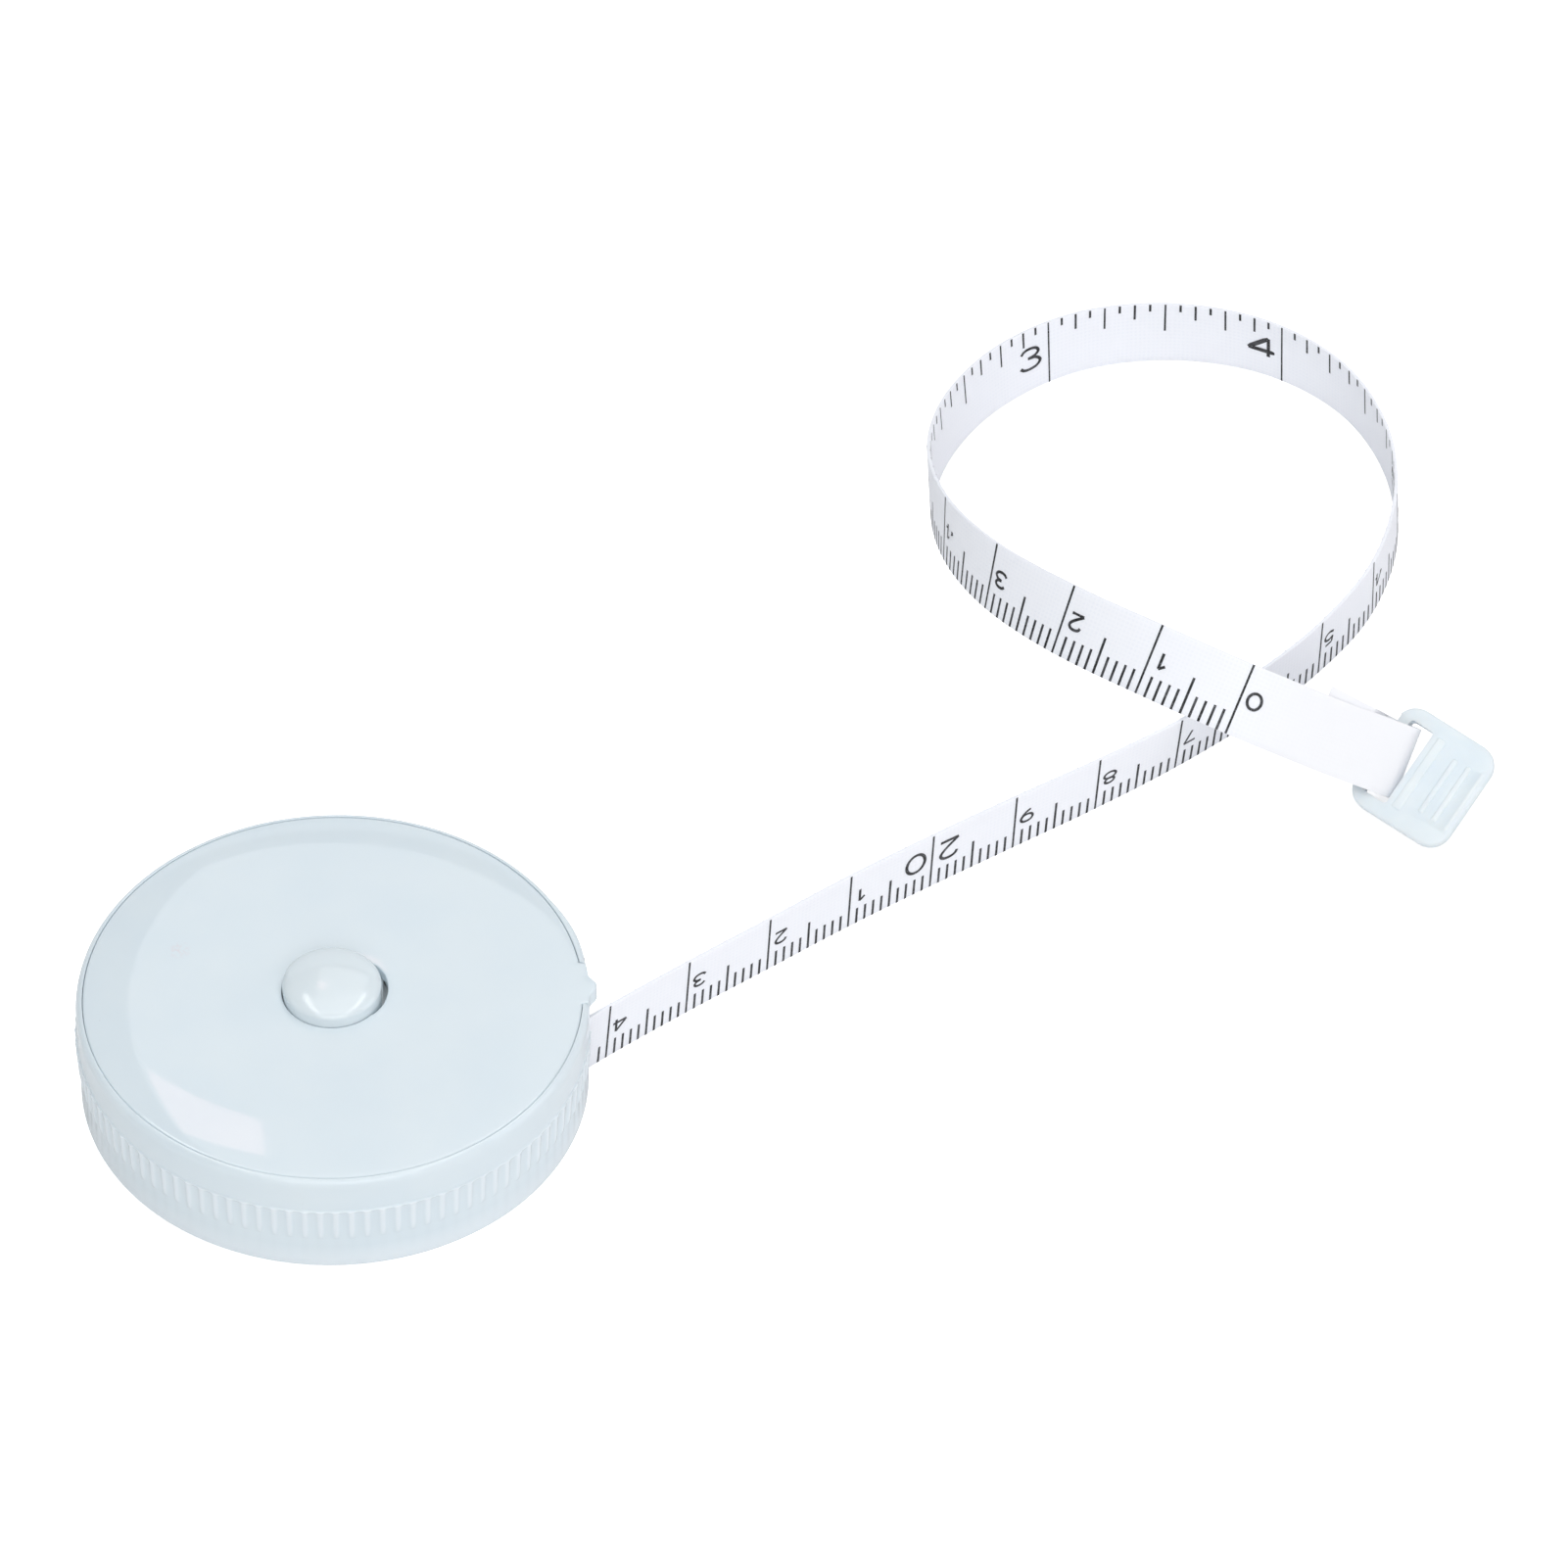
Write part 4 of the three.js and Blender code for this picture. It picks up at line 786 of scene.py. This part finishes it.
COVER_PROFILE = [(HOLE_RADIUS, 12.3), (4.99, 12.42), (5.05, 12.48), (5.17, CROWN_HEIGHT)]
COVER_PROFILE += [(r, crown(r)) for r in (7.0, 9.0, 11.5, 14.0, 16.0, 18.0, 19.5, 21.0, 22.2, 23.1, 23.7)]
COVER_PROFILE += [(24.1, 12.02), (24.26, 11.99), (24.34, 11.95), (24.39, 11.88)]
COVER_PROFILE += [(COVER_RADIUS, 11.78), (COVER_RADIUS, 10.85)]
COVER_PROFILE += [(23.45, 10.85), (23.45, 10.65), (23.7, 10.4), (23.45, 10.15), (23.45, 10.1)]
COVER_PROFILE += [(22.95, 10.1), (22.95, 10.85), (12.0, 11.35), (HOLE_RADIUS, 11.35)]
cover = turn_profile("cover_disc", COVER_PROFILE, COVER_POINTS)
choose(cover, lambda r, a, z: abs(r - HOLE_RADIUS) < 0.01 and (z < 11.36 or abs(z - 12.3) < 0.01))
bpy.ops.mesh.bridge_edge_loops()
print("rings of the cover:", len(COVER_PROFILE))

# %% Crescent of the button hole
HOLE_BACK = 0.16
# Angle in degrees and width in mm.
CRESCENT = [(-41, 0), (-38, 0.1), (-30, 0.2), (-19, 0.31), (-3, 0.41)]
CRESCENT += [(11, 0.48), (25, 0.56), (40, 0.42), (50, 0.22), (66, 0)]
for degree in range(CRESCENT[0][0], CRESCENT[-1][0]):
    width = float(np.interp(degree + 0.5, *zip(*CRESCENT)))
    choose(cover, lambda r, a, z: r < 5.18 and degree <= a < degree + 1)
    swell(1 + width / HOLE_RADIUS)
choose(cover, lambda r, a, z: r < 6)
bpy.ops.transform.translate(value=(0, HOLE_BACK * MM, 0))

# %% Tongue
TONGUE_START = -1.96
TONGUE_END = 10.04
TONGUE_PEAK = 3.3
TONGUE_LOBE = 3.4
TONGUE_REACH = 0.66
LOBE_REACH = 0.75
TONGUE_DROP = 0.55
STEP = 360 / COVER_POINTS
for i in range(round((TONGUE_END - TONGUE_START) / STEP) + 1):
    angle = TONGUE_START + i * STEP
    lobe = max(1 - ((angle - TONGUE_PEAK) / TONGUE_LOBE) ** 2, 0) ** 2
    reach = TONGUE_REACH + LOBE_REACH * lobe
    choose(cover, lambda r, a, z: r > 24.05 and abs(a - angle) < STEP / 2 + 0.001)
    swell(1 + reach / COVER_RADIUS)
choose(cover, lambda r, a, z: r > 25.0 and z < 10.9)
bpy.ops.transform.translate(value=(0, 0, -TONGUE_DROP * MM))
face_out()

# %% Rails, stop and key under the cover
RAIL_HALF_LENGTH = 4.6
RAIL_INNER = 6.05
RAIL_OUTER = 6.95
RAIL_LIP = 0.75
LIP_TOP = 7.15
ROOT = 11.5
STOP_BOX = ((8.0, 8.8), (-1.3, 1.3), (7.0, ROOT))
KEY_BOX = ((-6.75, -5.35), (-0.5, 0.5), (9.05, ROOT))
for side in (1, -1):
    sides = sorted((side * RAIL_INNER, side * RAIL_OUTER))
    rail = block("rail", (-RAIL_HALF_LENGTH, RAIL_HALF_LENGTH), sides, (6.7, ROOT))
    work_on(rail)
    bpy.ops.object.mode_set(mode="EDIT")
    bpy.ops.mesh.select_all(action="SELECT")
    bpy.ops.mesh.bisect(plane_co=(0, 0, LIP_TOP * MM), plane_no=(0, 0, 1))
    inner_corner = math.hypot(RAIL_HALF_LENGTH, RAIL_INNER)
    choose(rail, lambda r, a, z: z < LIP_TOP + 0.05 and r < inner_corner + 0.01)
    bpy.ops.mesh.extrude_region_move(TRANSFORM_OT_translate={"value": (0, -side * RAIL_LIP * MM, 0)})
    face_out()
    combine(cover, rail, "UNION")
combine(cover, block("stop", *STOP_BOX), "UNION")
combine(cover, block("key", *KEY_BOX), "UNION")
smooth_sides(cover, 32)
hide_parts("front_cover")
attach(cover, "casework")
print("cover faces:", len(cover.data.polygons))

# %% [markdown]
# ## Push button
# A domed head on a flange that holds it under the cover. Its hollow stem takes the spring, and the cone
# round the stem pushes the lock aside. The dome is an ellipse that is a little fuller near its edge. The
# head sits a hair off the stem's axis, and the flange is cut back where the crescent shows it.

# %% Button
HEAD_RADIUS = 4.85
HEAD_SHIFT = (-0.05, 0.14)
DOME_FOOT = 13.26
DOME_RISE = 1.34
DOME_ANGLES = np.radians([1.0, 3.0, 6.0, 10.0, 15.0, 21.0, 28.0, 36.0, 45.0, 54.0, 63.0, 72.0, 80.0, 86.0])
FLANGE_TOP = 11.2
NOTCH_BOX = ((-6.25, -5.25), (-0.6, 0.6), (10.0, 11.7))
CUT_BACK_BOX = ((4.87, 6.2), (-3.4, 4.6), (10.65, 11.4))
DOME = [(HEAD_RADIUS * math.cos(a), DOME_FOOT + DOME_RISE * math.sin(a) ** 0.8) for a in DOME_ANGLES]
BUTTON_PROFILE = [(0.9, FLANGE_TOP), (1.9, FLANGE_TOP), (1.9, 7.6), (2.4, 7.6), (2.4, 8.4), (3.87, 10.5)]
BUTTON_PROFILE += [(5.75, 10.5), (5.75, FLANGE_TOP), (HEAD_RADIUS, FLANGE_TOP), (HEAD_RADIUS, 13.16), *DOME]
button = turn_profile("button_head", BUTTON_PROFILE, 192)
bpy.ops.mesh.merge(type="CENTER")
choose(button, lambda r, a, z: r < 0.95 and z < FLANGE_TOP + 0.1)
bpy.ops.mesh.merge(type="CENTER")
choose(button, lambda r, a, z: z > FLANGE_TOP + 0.1)
bpy.ops.transform.translate(value=(HEAD_SHIFT[0] * MM, HEAD_SHIFT[1] * MM, 0))
face_out()
combine(button, block("notch", *NOTCH_BOX))
combine(button, block("cut_back", *CUT_BACK_BOX))
smooth_sides(button, 35)
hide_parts("push_button")
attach(button, "button")
print("button faces:", len(button.data.polygons))

# %% [markdown]
# ## Pull tab
# A small moulded plate with a bar that the tape folds round, a slot, three grip ridges and a raised end.
# It is built flat, with the middle of its bar at the origin, and then laid where it hangs on the tape.

# %% Plate and slot
TAB_BAR = 0.89
TAB_END = 10.71
TAB_HALF = 5.85
TAB_HALF_THICK = 0.55
TAB_CORNER = 2.3
RIM_ROUND = 0.3
SLOT_CORNER = 0.35
SLOT_BOX = ((0.61, 3.31), (-4.3, 4.3), (-1, 1))
BAR_CUT_BOX = ((-1.4, -0.61), (-4.3, 4.3), (-1, 1))
tab = block("tab_plate", (-TAB_BAR, TAB_END), (-TAB_HALF, TAB_HALF), (-TAB_HALF_THICK, TAB_HALF_THICK))


def pick_edges(piece, wanted):
    """Selects, in edit mode, the edges for which wanted(middle in mm, direction) holds."""
    bpy.context.tool_settings.mesh_select_mode = (False, True, False)
    mesh = bmesh.from_edit_mesh(piece.data)
    mesh.select_mode = {"EDGE"}
    for edge in mesh.edges:
        start, end = (v.co / MM for v in edge.verts)
        edge.select = bool(wanted((start + end) / 2, (end - start).normalized()))
    mesh.select_flush_mode()
    bmesh.update_edit_mesh(piece.data)


def round_block(piece, corner, rim, half_z):
    """Rounds a block's upright corners by one radius and its rims, at plus and minus z, by another."""
    bpy.ops.object.mode_set(mode="EDIT")
    pick_edges(piece, lambda m, d: abs(d.z) > 0.9)
    bpy.ops.mesh.bevel(offset=corner * MM, segments=10, affect="EDGES")
    if rim:
        pick_edges(piece, lambda m, d: abs(d.z) < 0.1 and abs(abs(m.z) - half_z) < 0.001)
        bpy.ops.mesh.bevel(offset=rim * MM, segments=4, affect="EDGES")
    bpy.ops.object.mode_set(mode="OBJECT")


round_block(tab, TAB_CORNER, RIM_ROUND, TAB_HALF_THICK)
slot = block("tab_slot", *SLOT_BOX)
round_block(slot, SLOT_CORNER, 0, 1)
combine(tab, slot)
combine(tab, block("bar_cut", *BAR_CUT_BOX))

# %% Ridges
RIDGE_CORNER = 0.34
# Place, half length, half width and half height.
RIDGES = [(4.5, 4.3, 0.6, 0.64), (6.88, 3.3, 0.4, 0.66), (8.51, 3.4, 0.4, 0.66), (10.05, 3.6, 0.36, 0.62)]
for x, reach, half_width, half_z in RIDGES:
    ridge = block("ridge", (x - half_width, x + half_width), (-reach, reach), (-half_z, half_z))
    round_block(ridge, RIDGE_CORNER, RIM_ROUND, half_z)
    combine(tab, ridge, "UNION")

# %% Tab laid on the tape
TAB_PLACE = Vector((103.966, 40.764, 4.456))
TAB_TURN = Euler([math.radians(d) for d in (30.8, 5.9, -37.8)], "XYZ")
tab.rotation_euler = TAB_TURN
tab.location = TAB_PLACE * MM
work_on(tab)
bpy.ops.object.transform_apply()
smooth_sides(tab, 40)
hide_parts("pull_tab")
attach(tab, "tab")
print("tab faces:", len(tab.data.polygons))

# %% [markdown]
# ## Coils that shorten
# The button's spring and the lock's spring get shorter as the button is pressed. A node from the CAD
# never changes, so each coil is copied, the copy's loose triangles are joined up, and the copy takes the
# node's place.

# %% Two coils
def soft_coil(name, node):
    """A copy of a coil from a CAD node, with its loose triangles joined up, that takes the node's place."""
    coil = put_in_scene(name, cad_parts[node].data.copy())
    work_on(coil)
    bpy.ops.object.mode_set(mode="EDIT")
    bpy.ops.mesh.select_all(action="SELECT")
    bpy.ops.mesh.remove_doubles(threshold=0.0001 * MM)
    face_out()
    smooth_sides(coil, 40)
    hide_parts(node)
    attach(coil, "casework")
    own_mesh(coil)
    return coil


button_coil = soft_coil("button_coil", "button_spring")
slide_coil = soft_coil("slide_coil", "slide_spring")
print("coils that shorten:", button_coil.name, slide_coil.name)

# %% [markdown]
# ## Case plastic
# The case is injection-moulded high-impact polystyrene in a pale ice blue. The mould was polished, so it
# is glossy, but the skin keeps a very faint unevenness that makes reflections swim. Handling leaves
# hardly visible specks, and on the cover a pinkish scuff. The crests of the ribs carry a painted
# highlight, a paler tone that stands in for the light catching them: they are found under the ledge by
# how far a point stands out from the slightly slanting wall.

# %% Coordinates and patterns in millimetres
def millimetres(material):
    """The piece's own coordinates, counted in mm, so that pattern scales are real sizes."""
    place = add_node(material, "ShaderNodeTexCoord", {}, "Object")
    return add_node(material, "ShaderNodeMapping", {"Scale": [1 / MM] * 3, "Vector": place})


def mottle(material, place, size, detail=2.0):
    """Even noise whose spots are about the given size in mm."""
    settings = {"Scale": 1 / size, "Detail": detail, "Vector": place}
    return add_node(material, "ShaderNodeTexNoise", settings)


def window(material, value, low, high, to_low=0.0, to_high=1.0):
    """Maps a value between low and high to a new range, clamped."""
    settings = {"Value": value, "From Min": low, "From Max": high, "To Min": to_low, "To Max": to_high}
    return add_node(material, "ShaderNodeMapRange", settings)


def on_axis(material, place, axis):
    """One coordinate of a place: 0, 1 or 2."""
    return add_node(material, "ShaderNodeSeparateXYZ", {0: place}, axis)


def relief(material, height, strength, depth):
    """A bumpy normal, for relief of a depth in mm."""
    settings = {"Strength": strength, "Distance": depth * MM, "Height": height}
    return add_node(material, "ShaderNodeBump", settings)


# %% Colours and the main shader
def blend_colours(material, share, first, second):
    """Mixes two colours, each a hex text or a socket, by a share socket."""
    return add_node(material, "ShaderNodeMix", {"data_type": "RGBA", 0: share, 6: first, 7: second}, 2)


def clouded(material, place, size, colour, cloud):
    """A colour with soft clouds of another, about the given size in mm."""
    return blend_colours(material, window(material, mottle(material, place, size), 0.35, 0.65), colour, cloud)


def finish_material(material, colour, roughness, normal, settings):
    """Closes a material with its main shader. Roughness is a number or a socket."""
    values = {**settings, "Base Color": colour, "Roughness": roughness, "Normal": normal}
    shader = add_node(material, "ShaderNodeBsdfPrincipled", values)
    add_node(material, "ShaderNodeOutputMaterial", {"Surface": shader})
    return material


def dress(piece, *finishes):
    """Gives a piece its materials, in place of whatever slots it has."""
    if piece.data.materials:
        piece.data.materials.clear()
    for finish in finishes:
        piece.data.materials.append(finish)


# %% Glossy polystyrene
SPECK_SPACING = 3.2
POLYSTYRENE = {"IOR": 1.59, "Subsurface Weight": 0.12, "Subsurface Radius": (0.9, 1.0, 1.1),
               "Subsurface Scale": 0.6 * MM}


def glossy_polystyrene(name, colour, cloud, roughness):
    """A material begun, with its sockets for place, tone, roughness and skin."""
    material = bare_material(name)
    place = millimetres(material)
    tone = clouded(material, place, 9.0, colour, cloud)
    cells = add_node(material, "ShaderNodeTexVoronoi", {"Scale": 1 / SPECK_SPACING, "Vector": place})
    speck = window(material, cells, 0.012, 0.02, 0.28, 0.0)
    tone = blend_colours(material, speck, tone, "#9FAAB2")
    worn = window(material, mottle(material, place, 2.5, 4.0), 0.4, 0.7, roughness, roughness + 0.04)
    return material, place, tone, worn, relief(material, mottle(material, place, 1.1), 0.25, 0.004)


# %% Case, with a painted highlight on the rib crests
WALL_SLANT = 0.05
material, place, tone, worn, skin = glossy_polystyrene("polystyrene_ice_blue", "#DDE8EE", "#DAE6ED", 0.14)
flat = add_node(material, "ShaderNodeVectorMath", {"operation": "MULTIPLY", 0: place, 1: (1, 1, 0)})
reach = add_node(material, "ShaderNodeVectorMath", {"operation": "LENGTH", 0: flat}, "Value")
height = on_axis(material, place, 2)
settings = {"operation": "MULTIPLY_ADD", 0: height, 1: -WALL_SLANT, 2: reach}
stands_out = add_node(material, "ShaderNodeMath", settings)
# Painted highlight: the rib crests under the ledge are paler, standing in for the light that catches them.
crest = window(material, stands_out, 24.76, 24.85)
crest_highlight_under_ledge = window(material, height, LEDGE_TOP - 0.06, LEDGE_TOP, 1.0, 0.0)
tone = blend_colours(material, maths(material, "MULTIPLY", crest, crest_highlight_under_ledge), tone, "#E4EDF3")
dress(case, finish_material(material, tone, worn, skin, POLYSTYRENE))

# %% Cover, with its scuff, and button
SCUFF_PLACE = (-15.1, 5.7, 12.4)
material, place, tone, worn, skin = glossy_polystyrene("polystyrene_cover", "#DDE8EE", "#DAE6ED", 0.02)
settings = {"operation": "DISTANCE", 0: place, 1: SCUFF_PLACE}
from_scuff = add_node(material, "ShaderNodeVectorMath", settings, "Value")
patchy = window(material, mottle(material, place, 0.5, 3.0), 0.45, 0.62, 0.0, 0.22)
near = window(material, from_scuff, 0.3, 1.3, 1.0, 0.0)
tone = blend_colours(material, maths(material, "MULTIPLY", patchy, near), tone, "#E0B8B8")
dress(cover, finish_material(material, tone, worn, skin, POLYSTYRENE))

material, place, tone, worn, skin = glossy_polystyrene("polystyrene_button", "#DFE9EE", "#DDE8ED", 0.07)
dress(button, finish_material(material, tone, worn, skin, POLYSTYRENE))
print("glossy pieces:", case.name, cover.name, button.name)

# %% [markdown]
# ## Tab plastic
# The tab is polypropylene without much pigment: milky, so light goes some way into it and thin places
# look paler. The mould was blasted, which leaves a fine satin grain. The tops of the ridges carry a
# painted highlight, a paler tone that stands in for the light catching them: they are found by their
# height in the tab's own frame.

# %% Milky polypropylene
milky = bare_material("polypropylene_milky_blue")
place = millimetres(milky)
tone = clouded(milky, place, 3.0, "#E8F1F7", "#E3EDF4")
settings = {"vector_type": "TEXTURE", "Location": tuple(TAB_PLACE), "Rotation": tuple(TAB_TURN)}
along_tab = add_node(milky, "ShaderNodeMapping", {**settings, "Vector": place})
# Painted highlight: the ridge tops are paler, standing in for the light that catches them.
painted_ridge_highlight = window(milky, on_axis(milky, along_tab, 2), 0.575, 0.62, 0.0, 0.32)
tone = blend_colours(milky, painted_ridge_highlight, tone, "#F3F9FC")
grain = relief(milky, mottle(milky, place, 0.25), 0.3, 0.01)
finish_material(milky, tone, 0.34, grain,
                {"IOR": 1.49, "Subsurface Weight": 0.5, "Subsurface Radius": (0.9, 1.0, 1.1),
                 "Subsurface Scale": 1.2 * MM, "Transmission Weight": 0.06})
dress(tab, milky)
print("tab finish:", milky.name)

# %% [markdown]
# ## Coated glass cloth
# The tape's cloth shows through its coating as a faint square grid of threads, about 0.45 mm apart. The
# UV map counts millimetres along and across the tape, so two sets of waves on it draw the weave at its
# real size on every bend. The coating is satin, and a touch translucent where light stands behind it.

# %% Tape cloth
THREAD_SPACING = 0.45
BLANK_FADE = 6
cloth = bare_material("vinyl_coated_glass_cloth")
place = add_node(cloth, "ShaderNodeUVMap", {"uv_map": "cloth_mm"})
waves = {"wave_type": "BANDS", "Vector": place, "Scale": math.pi / 10 / THREAD_SPACING, "Distortion": 0.6,
         "Detail": 1.0, "Detail Scale": 0.4}
threads = (add_node(cloth, "ShaderNodeTexWave", {**waves, "bands_direction": way}) for way in ("X", "Y"))
weave = maths(cloth, "MULTIPLY", *threads)
patches = window(cloth, mottle(cloth, place, 2.2, 3.0), 0.3, 0.7, 0.35, 1.0)
tone = blend_colours(cloth, maths(cloth, "MULTIPLY", weave, patches), "#F5F7FE", "#EFF2FB")
blank = window(cloth, on_axis(cloth, place, 0), ZERO_LENGTH, ZERO_LENGTH + BLANK_FADE)
tone = blend_colours(cloth, blank, tone, "#F1F2F6")
finish_material(cloth, tone, 0.5, relief(cloth, weave, 0.35, 0.02),
                {"IOR": 1.53, "Subsurface Weight": 0.2, "Subsurface Radius": (1.0, 1.0, 1.0),
                 "Subsurface Scale": 0.3 * MM})

# %% [markdown]
# ## Scale ink
# Black screen ink, rolled on over a weave that isn't quite flat, so lines have small pinholes and
# fainter stretches. Noise at a sixth of a millimetre makes the pinholes.

# %% Ink
ink = bare_material("screen_ink_black")
place = add_node(ink, "ShaderNodeUVMap", {"uv_map": "cloth_mm"})
holes = window(ink, mottle(ink, place, 0.16), 0.6, 0.7, 0.0, 0.5)
fade = window(ink, mottle(ink, place, 1.4), 0.45, 0.75, 0.0, 0.2)
tone = blend_colours(ink, maths(ink, "MAXIMUM", holes, fade), "#141518", "#A9ACB4")
finish_material(ink, tone, 0.55, relief(ink, holes, 0.2, 0.005), {"IOR": 1.5})
dress(lead, cloth)
dress(pack, cloth)
dress(free_tape, cloth, ink)
print("tape finishes:", cloth.name, ink.name)

# %% [markdown]
# ## Inside parts
# Drum, flange and lock slide are white acetal, which is waxy and self-lubricating. The slip washer is
# thin yellowish nylon. The springs are spring steel: drawn wire for the coils, and a rolled strip whose
# rolling marks run along it for the mainspring.

# %% White acetal and nylon
def waxy_plastic(name, colour, cloud, roughness, ior):
    """Acetal or nylon, faintly clouded, that lets a little light in."""
    material = bare_material(name)
    place = millimetres(material)
    tone = clouded(material, place, 4.0, colour, cloud)
    skin = relief(material, mottle(material, place, 0.6), 0.3, 0.006)
    settings = {"IOR": ior, "Subsurface Weight": 0.2, "Subsurface Scale": 0.8 * MM}
    return finish_material(material, tone, roughness, skin, settings)


acetal = waxy_plastic("acetal_white", "#F2F3F1", "#EDEFEC", 0.42, 1.48)
nylon = waxy_plastic("nylon_natural", "#E9E6DC", "#E3DFD2", 0.5, 1.53)
print("waxy plastics:", acetal.name, nylon.name)


# %% Spring steel
def spring_steel(name, colour, dark, stretch):
    """Drawn or rolled steel. Stretch says how long its marks are on each axis, in mm."""
    material = bare_material(name)
    marks = add_node(material, "ShaderNodeMapping",
                     {"Scale": tuple(1 / s for s in stretch), "Vector": millimetres(material)})
    lines = mottle(material, marks, 1.0, 3.0)
    tone = blend_colours(material, window(material, lines, 0.35, 0.65), colour, dark)
    rough = window(material, lines, 0.3, 0.7, 0.24, 0.36)
    return finish_material(material, tone, rough, relief(material, lines, 0.3, 0.003), {"Metallic": 1.0})


wire = spring_steel("spring_wire_drawn", "#A5AAB0", "#8F959B", (0.3, 0.3, 0.3))
strip_steel = spring_steel("spring_strip_rolled", "#8F959B", "#6F767E", (2.0, 2.0, 0.08))
FINISHES = {"spool_drum": acetal, "spool_flange": acetal, "locking_slide": acetal, "spool_washer": nylon,
            "mainspring": strip_steel}
for node, material in FINISHES.items():
    dress(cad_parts[node], material)
for coil in (button_coil, slide_coil):
    dress(coil, wire)
print("inside parts finished:", len(FINISHES) + 2)
